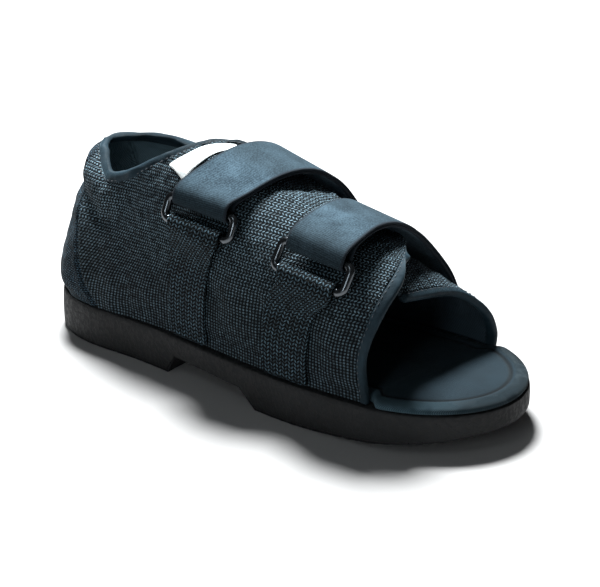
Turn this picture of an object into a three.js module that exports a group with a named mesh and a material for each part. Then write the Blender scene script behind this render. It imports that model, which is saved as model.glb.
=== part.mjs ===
import * as THREE from 'three';

// Postoperative shoe for the right foot, in millimetres.
// X runs from the back of the heel to the toe, Y from the lateral side to the medial side, Z up.

// Sole
const SOLE_LENGTH = 285;
const HEEL_HALF_WIDTH = 35.6;
const BALL_HALF_WIDTH = 51.8;
const HEEL_CAP = 48;
const HEEL_POWER = 2.2;
const TOE_CAP = 61.5;
const TOE_POWER = 1.98;
const WIDEN_FROM = 60;
const WIDEN_TO = 199.5;
const TOE_SWING = 4.6;
const SWING_FROM = 80;
const SOLE_TOP = 22;
const ROCKER_FROM = 173;
const TOE_SPRING = 11.7;
const HEEL_ROUND = 13.5;

// Seams and fabric
const SEAM_GAP = 0.3;
const COLLAR_GAP = 0.8;
const WALL = 2.8;
const BINDING_WIDTH = 6;
const BINDING_PROUD = 0.6;
const UPPER_FOOT = SOLE_TOP + SEAM_GAP;

// Footbed
const FOOTBED_BOTTOM = SOLE_TOP + SEAM_GAP;
const FOOTBED_INSIDE = 7.2;
const FOOTBED_AT_TOE = 0.8;
const LATERAL_FLAP_FRONT = 229.5;
const MEDIAL_FLAP_FRONT = 243;

// Straps, rings and tabs
const STRAP_WIDTH = 35;
const STRAP_THICK = 1.5;
const STRAP_LAYER_GAP = 0.35;
const TAB_THICK = 1.8;
const RING_WIRE = 2;
const RING_LENGTH = 46.5;
const RING_BEND = 3.6;
const LOOP_GAP = 0.5;
const LOOP_LEAD = 6;
const TAB_STAND_OFF = 1.0;
const LABEL_THICK = 0.7;
const LABEL_RAISE = 0.45;

// Arch gap along the bottom: x, height of the roof
const ARCH_GAP = [
  [94.5, 0],
  [100.5, 10.4],
  [148.5, 9],
  [159.5, 0],
];

// One row per section of the upper, from the lateral toe round the heel to the medial toe.
// r is measured outward from the middle line, or from the heel axis where turn is above zero.
// Levels: the foot is set inside the sole's edge; then low, mid, high and edge, each as r and z.
const UPPER_COLUMNS = [
  'side', 'x', 'turn', 'inset',
  'lowR', 'lowZ', 'midR', 'midZ', 'highR', 'highZ', 'edgeR', 'edgeZ',
];
const UPPER_ROWS = [
  [-1, 236, 0, 2.6, 47.0, 48, 39.0, 71, 23.0, 84.0, 6, 89.5],
  [-1, 215, 0, 3.2, 47.5, 48, 42.0, 76, 21.0, 92.5, -9, 91.0],
  [-1, 190, 0, 3.5, 47.0, 48, 42.5, 82, 22.0, 98.5, -15.5, 91],
  [-1, 160, 0, 3.5, 45.0, 50, 41.0, 87, 19.0, 107.0, -20, 99.0],
  [-1, 135, 0, 3.5, 42.2, 52, 38.6, 92.5, 18.0, 113.0, -20, 106.5],
  [-1, 120, 0, 3.5, 40.3, 52, 37.2, 95.5, 18.0, 117.0, -15, 113.5],
  [-1, 112, 0, 3.5, 39.3, 52, 36.5, 96, 20.0, 118.2, -7, 120.5],
  [-1, 104, 0, 3.3, 38.5, 52, 36.0, 92, 26.0, 115.5, 6, 124.5],
  [-1, 93, 0, 3.0, 37.3, 52, 35.6, 86, 31.5, 107.0, 20, 121.5],
  [-1, 80, 0, 2.6, 36.5, 50, 35.0, 77, 32.5, 98.0, 27.5, 114.5],
  [-1, 65, 0, 2.2, 36.2, 45, 34.4, 69, 31.5, 88.0, 29.0, 105.5],
  [-1, 48, 0, 1.8, 36.6, 40, 34.2, 62, 30.0, 84.0, 26.0, 99.5],
  [-1, 48, 45, 1.6, 44.0, 35, 37.6, 62, 30.5, 88.0, 18.5, 104.5],
  [-1, 48, 90, 1.6, 49.6, 34, 43.2, 62, 35.5, 88.0, 22.5, 107.0],
  [1, 48, 45, 1.6, 44.0, 35, 37.6, 62, 30.5, 89.0, 20.5, 106.5],
  [1, 48, 0, 1.8, 36.6, 40, 34.2, 62, 30.0, 87.0, 26.5, 104.5],
  [1, 65, 0, 2.2, 36.2, 45, 34.4, 70, 31.0, 89.0, 26.5, 103.5],
  [1, 80, 0, 2.6, 36.6, 50, 35.0, 76, 32.0, 93.0, 26.0, 105.0],
  [1, 93, 0, 3.0, 37.6, 50, 35.8, 80, 31.5, 98.0, 22.0, 108.5],
  [1, 104, 0, 3.3, 38.6, 50, 36.4, 84, 29.0, 102.0, 12.0, 111.5],
  [1, 112, 0, 3.5, 39.8, 50, 37.4, 85, 25.0, 103.0, -2.0, 112.0],
  [1, 130, 0, 3.5, 41.8, 49, 38.8, 82, 23.0, 99.5, -9.0, 107.5],
  [1, 160, 0, 3.5, 46.0, 45, 41.0, 71, 22.0, 90.0, -11.0, 99.0],
  [1, 190, 0, 3.5, 49.0, 41, 41.0, 60.5, 21.5, 80.5, -12.0, 90.5],
  [1, 220, 0, 3.2, 50.2, 37, 42.0, 54, 22.5, 70.5, -13.0, 78.5],
  [1, 243, 0, 2.6, 51.2, 33.5, 44.0, 47.5, 26.5, 60.0, -12.0, 68.0],
];

// The sections next to the toe lean: side, x, then how far foot, low, mid, high and edge lie behind x.
const TOE_LEAN = [
  [-1, 236, 6.5, 7, 1.5, 1, 12],
  [-1, 215, 1.5, 1.5, 0, 0, 3],
  [1, 220, 0, 0, 0, 3, 4],
  [1, 243, 0, 0, 2, 9, 14],
];
const NO_LEAN = [0, 0, 0, 0, 0, 0, 0];

// Where each flap begins and ends, counted in rows of the table, at the foot and at the edge.
const LATERAL_FRONT = 0.29;
const LATERAL_SEAM_FOOT = 11.2;
const LATERAL_SEAM_EDGE = 12.3;
const MEDIAL_SEAM_FOOT = 14.8;
const MEDIAL_SEAM_EDGE = 13.7;
const MEDIAL_FRONT = UPPER_ROWS.length - 1 - 0.25;
const SEAM_ROW_GAP = 0.02;
const TOE_ROW_GAP = 0.045;
const LATERAL_COLLAR_ROW = 5.4;
const MEDIAL_COLLAR_ROW = 19.9;
const COLLAR_END = 0.12;

// Rings: x, y and z of the lower and the upper bar's middle,
// and how much the bars drop and spread towards the toe.
const RINGS = {
  instep: { lower: [122, -45.0, 90.2], upper: [122.9, -40.6, 101.6], drop: 0.08, spread: 0 },
  forefoot: { lower: [195, -48.4, 82], upper: [196.4, -41.8, 94.6], drop: 0.11, spread: 0 },
};

// Straps, one row per bend from the medial side of the sole to the ring: x, y, z, then how much higher
// the rear edge lies than the front edge, and how much further to the medial side the front edge lies.
// end is the row where the returning layer stops.
const STRAPS = {
  instep: {
    end: 1,
    rows: [
      [147, 47.2, 24.2, 0, 5],
      [147, 47.6, 44, 0, 5],
      [145.5, 44.8, 72, 1, 4],
      [143, 35.4, 93.8, 5, 1],
      [139.5, 23.0, 109.2, 9, 0],
      [137.5, 5, 117.2, 8, 0],
      [134, -14, 117.8, 7, 0],
      [127.5, -29.5, 111.4, 6, 0],
    ],
  },
  forefoot: {
    end: 1,
    rows: [
      [201, 53.0, 24.2, 0, 2],
      [201, 52.2, 40, 0, 2],
      [200.5, 46.4, 56, 0, 0],
      [199.5, 38.2, 68.6, 1, -1],
      [198.5, 28.0, 80.6, 3, 0],
      [198, 16, 93.4, 6, 0],
      [197.5, 0, 102.6, 5, 0],
      [197.5, -17, 105.0, 3, 0],
      [197.5, -32, 103.0, 4, 0],
    ],
  },
};

// Tabs: x and width at the foot and at the ring, and the heights where the wall is followed.
const TABS = {
  instep: { footX: 111.5, ringX: 120.5, footWidth: 26, ringWidth: 33, heights: [24, 40, 56, 70] },
  forefoot: { footX: 180, ringX: 192.5, footWidth: 29, ringWidth: 34, heights: [24, 38, 52, 64] },
};

// Label: x and y along the binding side and along the strap side.
const LABEL = [
  [90.5, -28.0, 103.5, -31.5],
  [97.8, -22.0, 108.0, -25.0],
  [102.1, -16.7, 111.0, -18.5],
  [106.1, -11.3, 113.4, -12.2],
  [109.4, -5.9, 115.4, -6.4],
  [112.4, -1.1, 117.2, -1.4],
];

// Padded collar round the heel: a crease below a soft roll,
// each with its distance from the edge, half width and height.
const HEEL_CREASE = { distance: 27, halfWidth: 6, height: -2.4 };
const HEEL_ROLL = { distance: 12, halfWidth: 7, height: 2.6 };
const HEEL_FOLD_ROWS = [9.8, 11.4, 14, 15.4];

// The lateral wall puffs out between the tabs: x of the middle, half length and height.
const PUFFS = [
  [78, 21, 1.4],
  [145, 20, 1.8],
  [211, 16, 1.6],
];
const PUFF_TOP = 0.42;

const clamp = THREE.MathUtils.clamp;
const lerp = THREE.MathUtils.lerp;
const smoothstep = THREE.MathUtils.smoothstep;

const vec = (x, y, z) => new THREE.Vector3(x, y, z);
const smoothCurve = (points) => new THREE.CatmullRomCurve3(points, false, 'catmullrom', 0.5);
const steps = (from, to, count) => (
  Array.from({ length: count + 1 }, (_, i) => lerp(from, to, i / count))
);

// Plan of the sole, or of a piece set inside it: half width and middle line at a distance x from the heel.
function soleHalfWidth(x, inset = 0) {
  const width = lerp(HEEL_HALF_WIDTH, BALL_HALF_WIDTH, smoothstep(x, WIDEN_FROM, WIDEN_TO)) - inset;
  const heel = clamp((HEEL_CAP - x) / (HEEL_CAP - inset), 0, 1);
  const toe = clamp((x - SOLE_LENGTH + TOE_CAP) / (TOE_CAP - inset), 0, 1);
  const heelCap = (1 - heel ** HEEL_POWER) ** (1 / HEEL_POWER);
  const toeCap = (1 - toe ** TOE_POWER) ** (1 / TOE_POWER);
  return width * heelCap * toeCap;
}

const soleMiddle = (x) => TOE_SWING * smoothstep(x, SWING_FROM, SOLE_LENGTH);

// Radius of the heel's plan about the heel axis: turn 0 is sideways, 90 is straight back.
function heelRadius(turn) {
  const angle = THREE.MathUtils.degToRad(turn);
  const back = (Math.sin(angle) / HEEL_CAP) ** HEEL_POWER;
  const side = (Math.cos(angle) / HEEL_HALF_WIDTH) ** HEEL_POWER;
  return (back + side) ** (-1 / HEEL_POWER);
}

// Height of the sole's underside.
function soleBottom(x) {
  if (x < HEEL_ROUND) {
    const rise = (HEEL_ROUND - x) / HEEL_ROUND;
    return HEEL_ROUND * (1 - Math.sqrt(1 - rise * rise));
  }
  for (let i = 1; i < ARCH_GAP.length; i += 1) {
    const [fromX, fromZ] = ARCH_GAP[i - 1];
    const [toX, toZ] = ARCH_GAP[i];
    if (x > fromX && x <= toX) {
      return lerp(fromZ, toZ, (x - fromX) / (toX - fromX));
    }
  }
  if (x > ROCKER_FROM) {
    return TOE_SPRING * ((x - ROCKER_FROM) / (SOLE_LENGTH - ROCKER_FROM)) ** 2;
  }
  return 0;
}

// Solid through a row of closed sections with equal point counts.
function loft(sections, closed = false) {
  const count = sections[0].length;
  const positions = [];
  const index = [];
  sections.forEach((section) => section.forEach((p) => positions.push(p.x, p.y, p.z)));
  const rows = closed ? sections.length : sections.length - 1;
  for (let i = 0; i < rows; i += 1) {
    const here = i * count;
    const next = ((i + 1) % sections.length) * count;
    for (let j = 0; j < count; j += 1) {
      const k = (j + 1) % count;
      index.push(here + j, next + j, next + k, here + j, next + k, here + k);
    }
  }
  if (!closed) {
    const last = (sections.length - 1) * count;
    for (let j = 0; j < count / 2 - 1; j += 1) {
      const a = j;
      const b = j + 1;
      const c = count - 2 - j;
      const d = count - 1 - j;
      index.push(a, b, c, a, c, d);
      index.push(last + a, last + c, last + b, last + a, last + d, last + c);
    }
  }
  const geometry = new THREE.BufferGeometry();
  geometry.setAttribute('position', new THREE.Float32BufferAttribute(positions, 3));
  geometry.setIndex(facingOut(positions, index));
  geometry.computeVertexNormals();
  return geometry;
}

// Turns every triangle over when the enclosed volume comes out negative.
function facingOut(positions, index) {
  const corner = (i) => vec(positions[3 * i], positions[3 * i + 1], positions[3 * i + 2]);
  let volume = 0;
  for (let i = 0; i < index.length; i += 3) {
    const a = corner(index[i]);
    const b = corner(index[i + 1]);
    const c = corner(index[i + 2]);
    volume += a.dot(b.cross(c));
  }
  if (volume > 0) {
    return index;
  }
  const turned = [];
  for (let i = 0; i < index.length; i += 3) {
    turned.push(index[i], index[i + 2], index[i + 1]);
  }
  return turned;
}

// Upper: one rail per level through all rows, and a rib across the rails at any row position.
function railPoints() {
  const rails = [[], [], [], [], []];
  UPPER_ROWS.forEach((values) => {
    const row = Object.fromEntries(UPPER_COLUMNS.map((name, i) => [name, values[i]]));
    const angle = THREE.MathUtils.degToRad(row.turn);
    const sideEdge = soleHalfWidth(row.x) + row.side * soleMiddle(row.x);
    const edge = row.turn > 0 ? heelRadius(row.turn) : sideEdge;
    const lean = TOE_LEAN.find(([side, x]) => side === row.side && x === row.x) ?? NO_LEAN;
    const levels = [
      [edge - row.inset, UPPER_FOOT],
      [row.lowR, row.lowZ],
      [row.midR, row.midZ],
      [row.highR, row.highZ],
      [row.edgeR, row.edgeZ],
    ];
    levels.forEach(([r, z], level) => rails[level].push(vec(
      row.x - r * Math.sin(angle) - lean[level + 2],
      row.side * r * Math.cos(angle),
      z,
    )));
  });
  return rails;
}

const lastRow = UPPER_ROWS.length - 1;
const rails = railPoints().map(smoothCurve);
const ribs = new Map();

function rib(row) {
  const key = row.toFixed(5);
  if (!ribs.has(key)) {
    ribs.set(key, smoothCurve(rails.map((rail) => rail.getPoint(clamp(row / lastRow, 0, 1)))));
  }
  return ribs.get(key);
}

// Soft shape of the fabric at a row and a share of the rib: heel folds and lateral puffs.
function softness(row, share, point) {
  const [from, full, ease, to] = HEEL_FOLD_ROWS;
  const heel = smoothstep(row, from, full) * (1 - smoothstep(row, ease, to));
  const distance = (1 - share) * rib(row).getLength();
  let height = 0;
  [HEEL_CREASE, HEEL_ROLL].forEach((fold) => {
    height += heel * fold.height * Math.exp(-(((distance - fold.distance) / fold.halfWidth) ** 2));
  });
  if (row < from) {
    const rise = Math.sin(Math.PI * clamp(share / PUFF_TOP, 0, 1)) ** 2;
    PUFFS.forEach(([x, half, most]) => {
      const across = clamp(Math.abs(point.x - x) / half, 0, 1);
      height += most * rise * Math.cos((across * Math.PI) / 2) ** 2;
    });
  }
  return height;
}

// Point of the upper at a row and a share of the rib, raised along the outward normal.
function upperPoint(row, share, raise) {
  const along = clamp(share, 0, 1);
  const small = 0.02;
  const point = rib(row).getPointAt(along);
  const soft = softness(row, along, point);
  const ahead = rib(Math.min(row + small, lastRow)).getPointAt(along);
  const behind = rib(Math.max(row - small, 0)).getPointAt(along);
  const up = rib(row).getPointAt(Math.min(along + small, 1));
  const down = rib(row).getPointAt(Math.max(along - small, 0));
  const normal = ahead.sub(behind).cross(up.sub(down)).normalize();
  point.addScaledVector(normal, -raise - soft);
  point.z = Math.max(point.z, UPPER_FOOT);
  return point;
}

const shareFromEdge = (row, distance) => 1 - distance / rib(row).getLength();

// Fabric wall between two rows that may lie differently at the foot and at the edge.
function wall(rowAt, stations, shareCount) {
  const sections = stations.map((u) => {
    const outer = [];
    const inner = [];
    steps(0, 1, shareCount).forEach((step) => {
      const t = 1 - (1 - step) ** 1.3;
      const row = rowAt(u, t);
      const share = wallTop(row) * t;
      outer.push(upperPoint(row, share, 0));
      inner.unshift(upperPoint(row, share, -WALL));
    });
    return [...outer, ...inner];
  });
  return loft(sections);
}

// Share of the rib where the wall stops: below the collar binding, or at the edge where there is none.
function wallTop(row) {
  const inside = Math.min(row - LATERAL_COLLAR_ROW, MEDIAL_COLLAR_ROW - row) + COLLAR_END;
  const covered = smoothstep(inside, -COLLAR_END, 0.6 * COLLAR_END);
  return lerp(1, shareFromEdge(row, BINDING_WIDTH + COLLAR_GAP), covered);
}

const lateralToe = (t) => LATERAL_FRONT + TOE_ROW_GAP * (1 + 2 * t ** 4);
const lateralSeam = (t) => lerp(LATERAL_SEAM_FOOT, LATERAL_SEAM_EDGE, t);
const medialSeam = (t) => lerp(MEDIAL_SEAM_FOOT, MEDIAL_SEAM_EDGE, t);
const medialToe = MEDIAL_FRONT - TOE_ROW_GAP;

const lateralFlap = wall(
  (u, t) => lerp(lateralToe(t), lateralSeam(t) - SEAM_ROW_GAP, u),
  [...steps(0, 0.398, 12), 0.4165, ...steps(0.44, 1, 17)],
  11,
);

const heelPanel = wall(
  (u, t) => lerp(lateralSeam(t), medialSeam(t), u),
  steps(0, 1, 12),
  12,
);

const medialFlap = wall(
  (u, t) => lerp(medialSeam(t) + SEAM_ROW_GAP, medialToe, u),
  [...steps(0, 0.505, 13), ...steps(0.525, 1, 12)],
  9,
);

// Collar binding: section as distance from the edge and height over the wall's outer face.
const COLLAR_SECTION = [
  [BINDING_WIDTH, 0.1],
  [BINDING_WIDTH - 1, BINDING_PROUD],
  [BINDING_WIDTH / 2, BINDING_PROUD + 0.3],
  [1.2, BINDING_PROUD],
  [0, -0.6],
  [0, -WALL + 0.6],
  [1.2, -WALL - BINDING_PROUD],
  [BINDING_WIDTH / 2, -WALL - BINDING_PROUD - 0.3],
  [BINDING_WIDTH - 1, -WALL - BINDING_PROUD],
  [BINDING_WIDTH, -WALL - 0.1],
];
const collarBinding = loft(steps(LATERAL_COLLAR_ROW, MEDIAL_COLLAR_ROW, 42).map((row) => (
  COLLAR_SECTION.map(([distance, raise]) => upperPoint(row, shareFromEdge(row, distance), raise))
)));

// Toe binding: section as share of the binding's width and height over the wall's outer face.
const TOE_SECTION = [
  [1, 0.1],
  [0.86, BINDING_PROUD],
  [0.15, BINDING_PROUD],
  [0, -0.7],
  [0, -WALL + 0.7],
  [0.15, -WALL - BINDING_PROUD],
  [0.86, -WALL - BINDING_PROUD],
  [1, -WALL - 0.1],
];
function toeBinding(frontRow, seamRow) {
  return loft(steps(0, 1, 18).map((share) => (
    TOE_SECTION.map(([across, raise]) => upperPoint(lerp(frontRow, seamRow, across), share, raise))
  )));
}

// Sole stations: close together where the plan or the underside turns.
function soleStations() {
  const heel = [0.4, 1.6, 3.6, 6.4, 9.6, 14, 20, 28, 38];
  const middle = [HEEL_CAP, 66, 82, ...ARCH_GAP.map(([x]) => x), 127, ROCKER_FROM, 190, 208];
  const toe = steps(0, Math.PI / 2, 11).map((angle) => (
    SOLE_LENGTH - TOE_CAP + (TOE_CAP - 0.25) * Math.sin(angle)
  ));
  return [...heel, ...middle, ...toe].sort((a, b) => a - b);
}

// Outsole section as inset from the edge and share of the height.
const SOLE_SECTION = [
  [1.4, 0],
  [0.5, 0.1],
  [0, 0.5],
  [0.3, 0.86],
  [1, 1],
];
function outsoleSection(x) {
  const half = soleHalfWidth(x);
  const middle = soleMiddle(x);
  const bottom = soleBottom(x);
  const side = (sign) => SOLE_SECTION.map(([inset, share]) => vec(
    x,
    middle + sign * (half - Math.min(inset, 0.6 * half)),
    lerp(bottom, SOLE_TOP, share),
  ));
  return [...side(1).reverse(), ...side(-1)];
}
const outsole = loft(soleStations().map(outsoleSection));

// Footbed: inside the upper, and out to the sole's edge ahead of each flap.
const FOOTBED_SECTION = [
  [1.0, 0],
  [0, 1.6],
  [0.6, 3.4],
  [3, 4.6],
  [6.2, 4.5],
  [8, 3.7],
  [10, 4.1],
];
function footbedInset(x, flapFront) {
  return lerp(FOOTBED_INSIDE, FOOTBED_AT_TOE, smoothstep(x, flapFront + 1.2, flapFront + 5));
}
function footbedSection(x) {
  const middle = soleMiddle(x);
  const side = (sign, flapFront) => {
    const reach = soleHalfWidth(x, footbedInset(x, flapFront));
    return FOOTBED_SECTION.map(([inset, rise]) => vec(
      x,
      middle + sign * (reach - inset * Math.min(1, reach / 14)),
      FOOTBED_BOTTOM + rise,
    ));
  };
  return [...side(1, MEDIAL_FLAP_FRONT), ...side(-1, LATERAL_FLAP_FRONT).reverse()];
}
const FOOTBED_STATIONS = [
  ...[FOOTBED_INSIDE + 0.3, 8.6, 10.6, 14, 19, 26, 36, 48, 70, 95, 120, 145, 170, 195, 215, 229],
  ...[232, 233.5, 236, 240, 244, 246, 248.5, 253, 258, 263, 268, 273, 277, 280.5, 283, 283.9],
];
const footbed = loft(FOOTBED_STATIONS.map(footbedSection));

// Row of the upper at a distance x on one side, and the share of its rib that meets a wanted value.
function rowAtX(x, from, to) {
  let low = from;
  let high = to;
  const falling = rails[0].getPoint(from / lastRow).x > rails[0].getPoint(to / lastRow).x;
  for (let i = 0; i < 40; i += 1) {
    const half = (low + high) / 2;
    const beyond = rails[0].getPoint(half / lastRow).x > x;
    if (beyond === falling) {
      low = half;
    } else {
      high = half;
    }
  }
  return (low + high) / 2;
}

function shareWhere(row, measure, wanted, from, to) {
  let low = from;
  let high = to;
  for (let i = 0; i < 40; i += 1) {
    const half = (low + high) / 2;
    if (measure(rib(row).getPointAt(half)) < wanted) {
      low = half;
    } else {
      high = half;
    }
  }
  return (low + high) / 2;
}

// Point over the lateral flap by x and height, or by x and y.
function overLateralAtHeight(x, z, raise) {
  const row = rowAtX(x, 1, 10);
  return upperPoint(row, shareWhere(row, (p) => p.z, z, 0, 0.7), raise);
}

function overLateralAtY(x, y, raise) {
  const row = rowAtX(x, 1, 10);
  return upperPoint(row, shareWhere(row, (p) => p.y, y, 0.4, 1), raise);
}

// Flat band along a path; the width direction follows the given sideways vectors.
function band(path, sideways, widths, thick) {
  const sections = path.map((point, i) => {
    const before = path[Math.max(i - 1, 0)];
    const after = path[Math.min(i + 1, path.length - 1)];
    const along = after.clone().sub(before).normalize();
    const across = sideways[i].clone().normalize();
    const through = along.clone().cross(across).normalize();
    const corner = (w, t) => point.clone()
      .addScaledVector(across, w * widths[i])
      .addScaledVector(through, t * thick);
    const face = [-0.5, 0, 0.5].map((w) => corner(w, 0.5));
    const back = [0.5, 0, -0.5].map((w) => corner(w, -0.5));
    return [...face, ...back];
  });
  return loft(sections);
}

// Ring directions: along the bars, up across the ring and out from the foot.
function ringFrame(ring) {
  const lower = vec(...ring.lower);
  const upper = vec(...ring.upper);
  const up = upper.clone().sub(lower).normalize();
  const along = vec(1, -ring.spread, -ring.drop);
  along.addScaledVector(up, -along.dot(up)).normalize();
  const out = along.clone().cross(up).normalize();
  return { lower, upper, up, along, out };
}

function ringSolid(ring) {
  const { lower, upper, up, along, out } = ringFrame(ring);
  const middle = lower.clone().lerp(upper, 0.5);
  const halfHeight = upper.distanceTo(lower) / 2;
  const halfLength = RING_LENGTH / 2 - RING_WIRE;
  const sections = [];
  for (let corner = 0; corner < 4; corner += 1) {
    const signLength = corner === 0 || corner === 3 ? 1 : -1;
    const signHeight = corner < 2 ? 1 : -1;
    for (let i = 0; i <= 4; i += 1) {
      const angle = ((corner + i / 4) * Math.PI) / 2;
      const radial = along.clone().multiplyScalar(Math.cos(angle)).addScaledVector(up, Math.sin(angle));
      const centre = middle.clone()
        .addScaledVector(along, signLength * (halfLength - RING_BEND))
        .addScaledVector(up, signHeight * (halfHeight - RING_BEND))
        .addScaledVector(radial, RING_BEND);
      sections.push(steps(0, 1, 8).slice(0, 8).map((u) => centre.clone()
        .addScaledVector(radial, RING_WIRE * Math.cos(2 * Math.PI * u))
        .addScaledVector(out, RING_WIRE * Math.sin(2 * Math.PI * u))));
    }
  }
  return loft(sections, true);
}

// Half turn round a bar from the outer to the inner side, over the top or under it.
function turnRoundBar(bar, frame, radius, over) {
  return steps(0, Math.PI, 6).map((angle) => bar.clone()
    .addScaledVector(frame.out, radius * Math.cos(angle))
    .addScaledVector(frame.up, (over ? 1 : -1) * radius * Math.sin(angle)));
}

// Strap from the sole to the ring, round its upper bar and back over itself.
// Places count the rows, then the lead into the ring and the bar.
function strapSolid(strap, ring) {
  const frame = ringFrame(ring);
  const radius = RING_WIRE + LOOP_GAP + STRAP_THICK / 2;
  const loop = turnRoundBar(frame.upper, frame, radius, false).reverse();
  const loopEnd = loop[loop.length - 1];
  const lead = frame.up.clone().multiplyScalar(LOOP_LEAD);
  const rows = strap.rows.map(([x, y, z]) => vec(x, y, z));
  const tilts = strap.rows.map(([, , , rise, spread]) => [rise, spread]);
  tilts.push([ring.drop * STRAP_WIDTH, -ring.spread * STRAP_WIDTH]);
  const bar = rows.length + 1;
  const under = smoothCurve([...rows, loop[0].clone().add(lead), loop[0]]);
  const sidewaysAt = (place) => {
    const i = Math.min(Math.floor(place), rows.length - 1);
    const share = Math.min(place - i, 1);
    const [rise, spread] = tilts[i].map((value, j) => lerp(value, tilts[i + 1][j], share));
    return vec(STRAP_WIDTH, spread, -rise);
  };
  const over = (place) => {
    const outward = under.getTangent(place / bar).cross(sidewaysAt(place)).normalize();
    return under.getPoint(place / bar).addScaledVector(outward, STRAP_THICK + STRAP_LAYER_GAP);
  };
  const covered = steps(rows.length - 1, strap.end, rows.length - 1 - strap.end).map(over);
  const returning = smoothCurve([loopEnd, loopEnd.clone().add(lead), ...covered]);
  const path = [];
  const sideways = [];
  steps(0, bar, 3 * bar).slice(0, -1).forEach((place) => {
    path.push(under.getPoint(place / bar));
    sideways.push(sidewaysAt(place));
  });
  loop.forEach((point) => {
    path.push(point);
    sideways.push(frame.along.clone());
  });
  const returnSpans = bar - strap.end;
  steps(0, returnSpans, 3 * returnSpans).slice(1).forEach((place) => {
    path.push(returning.getPoint(place / returnSpans));
    sideways.push(sidewaysAt(bar - place));
  });
  return band(path, sideways, path.map(() => STRAP_WIDTH), STRAP_THICK);
}

function tabSolid(tab, ring) {
  const frame = ringFrame(ring);
  const radius = RING_WIRE + LOOP_GAP + TAB_THICK / 2;
  const loop = turnRoundBar(frame.lower, frame, radius, true);
  const lead = frame.up.clone().multiplyScalar(-LOOP_LEAD);
  const rise = (z) => clamp((z - tab.heights[0]) / (frame.lower.z - tab.heights[0]), 0, 1);
  const standOff = TAB_THICK / 2 + TAB_STAND_OFF;
  const xAt = (z) => lerp(tab.footX, tab.ringX, rise(z) ** 3);
  const widthAt = (z) => lerp(tab.footWidth, tab.ringWidth, rise(z) ** 3);
  const face = tab.heights.map((z) => overLateralAtHeight(xAt(z), z, standOff));
  const points = [...face, loop[0].clone().add(lead), loop[0]];
  const front = smoothCurve(points);
  const tail = loop[loop.length - 1].clone().addScaledVector(lead, 1.6);
  const path = [...front.getPoints(3 * points.length).slice(0, -1), ...loop, tail];
  const sideways = path.map((point, i) => {
    const onWall = i < 3 * points.length - 5;
    const z = clamp(point.z, tab.heights[0], tab.heights[tab.heights.length - 1]);
    const before = overLateralAtHeight(xAt(z) - 8, z, 0);
    const after = overLateralAtHeight(xAt(z) + 8, z, 0);
    const spread = after.sub(before).divideScalar(16);
    return onWall ? vec(1, spread.y, -ring.drop * rise(point.z)) : frame.along.clone();
  });
  return band(path, sideways, path.map((point) => widthAt(point.z)), TAB_THICK);
}

const label = loft(steps(0, LABEL.length - 1, 2 * LABEL.length - 2).map((place) => {
  const i = Math.min(Math.floor(place), LABEL.length - 2);
  const [fromX, fromY, toX, toY] = LABEL[i].map((value, j) => lerp(value, LABEL[i + 1][j], place - i));
  const across = steps(0, 1, 4).map((u) => [lerp(fromX, toX, u), lerp(fromY, toY, u)]);
  const top = across.map(([x, y]) => overLateralAtY(x, y, LABEL_RAISE + LABEL_THICK));
  const under = across.map(([x, y]) => overLateralAtY(x, y, LABEL_RAISE)).reverse();
  return [...top, ...under];
}));

const meshFabric = new THREE.MeshStandardMaterial({ color: '#1b1d21', roughness: 0.9 });
const bindingFabric = new THREE.MeshStandardMaterial({ color: '#202228', roughness: 0.7 });
const strapFabric = new THREE.MeshStandardMaterial({ color: '#474c57', roughness: 0.95 });
const tabFabric = new THREE.MeshStandardMaterial({ color: '#22252b', roughness: 0.9 });
const soleFoam = new THREE.MeshStandardMaterial({ color: '#34363a', roughness: 0.85 });
const footbedCloth = new THREE.MeshStandardMaterial({ color: '#2a2c31', roughness: 0.8 });
const blackWire = new THREE.MeshStandardMaterial({ color: '#0b0b0c', roughness: 0.2 });
const labelCloth = new THREE.MeshStandardMaterial({ color: '#ecebe6', roughness: 0.9 });

const pieces = [
  ['outsole', outsole, soleFoam],
  ['footbed', footbed, footbedCloth],
  ['lateral_flap', lateralFlap, meshFabric],
  ['medial_flap', medialFlap, meshFabric],
  ['heel_panel', heelPanel, meshFabric],
  ['collar_binding', collarBinding, bindingFabric],
  ['lateral_toe_binding', toeBinding(0, LATERAL_FRONT), bindingFabric],
  ['medial_toe_binding', toeBinding(lastRow, MEDIAL_FRONT), bindingFabric],
  ['instep_strap', strapSolid(STRAPS.instep, RINGS.instep), strapFabric],
  ['forefoot_strap', strapSolid(STRAPS.forefoot, RINGS.forefoot), strapFabric],
  ['instep_ring', ringSolid(RINGS.instep), blackWire],
  ['forefoot_ring', ringSolid(RINGS.forefoot), blackWire],
  ['instep_tab', tabSolid(TABS.instep, RINGS.instep), tabFabric],
  ['forefoot_tab', tabSolid(TABS.forefoot, RINGS.forefoot), tabFabric],
  ['label', label, labelCloth],
];

const shoe = new THREE.Group();
shoe.name = 'postoperative_shoe';
pieces.forEach(([name, geometry, material]) => {
  const mesh = new THREE.Mesh(geometry, material);
  mesh.name = name;
  shoe.add(mesh);
});

// The origin is the middle of the footprint, on the floor.
const box = new THREE.Box3().setFromObject(shoe);
const centre = box.getCenter(vec(0, 0, 0));
shoe.position.set(-centre.x, -centre.y, -box.min.z);

const group = new THREE.Group();
group.add(shoe);

export default group;
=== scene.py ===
# %% [markdown]
# # Dressing a postoperative shoe
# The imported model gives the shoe's solids as a fixed frame. This lesson puts the real surfaces over them:
# foam, net fabric, bindings, straps, wire rings and a bare label, then lights them as a studio would.

# %% Load the frame
import math

import bmesh
import bpy
import numpy as np
from mathutils import Matrix, Vector


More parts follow.
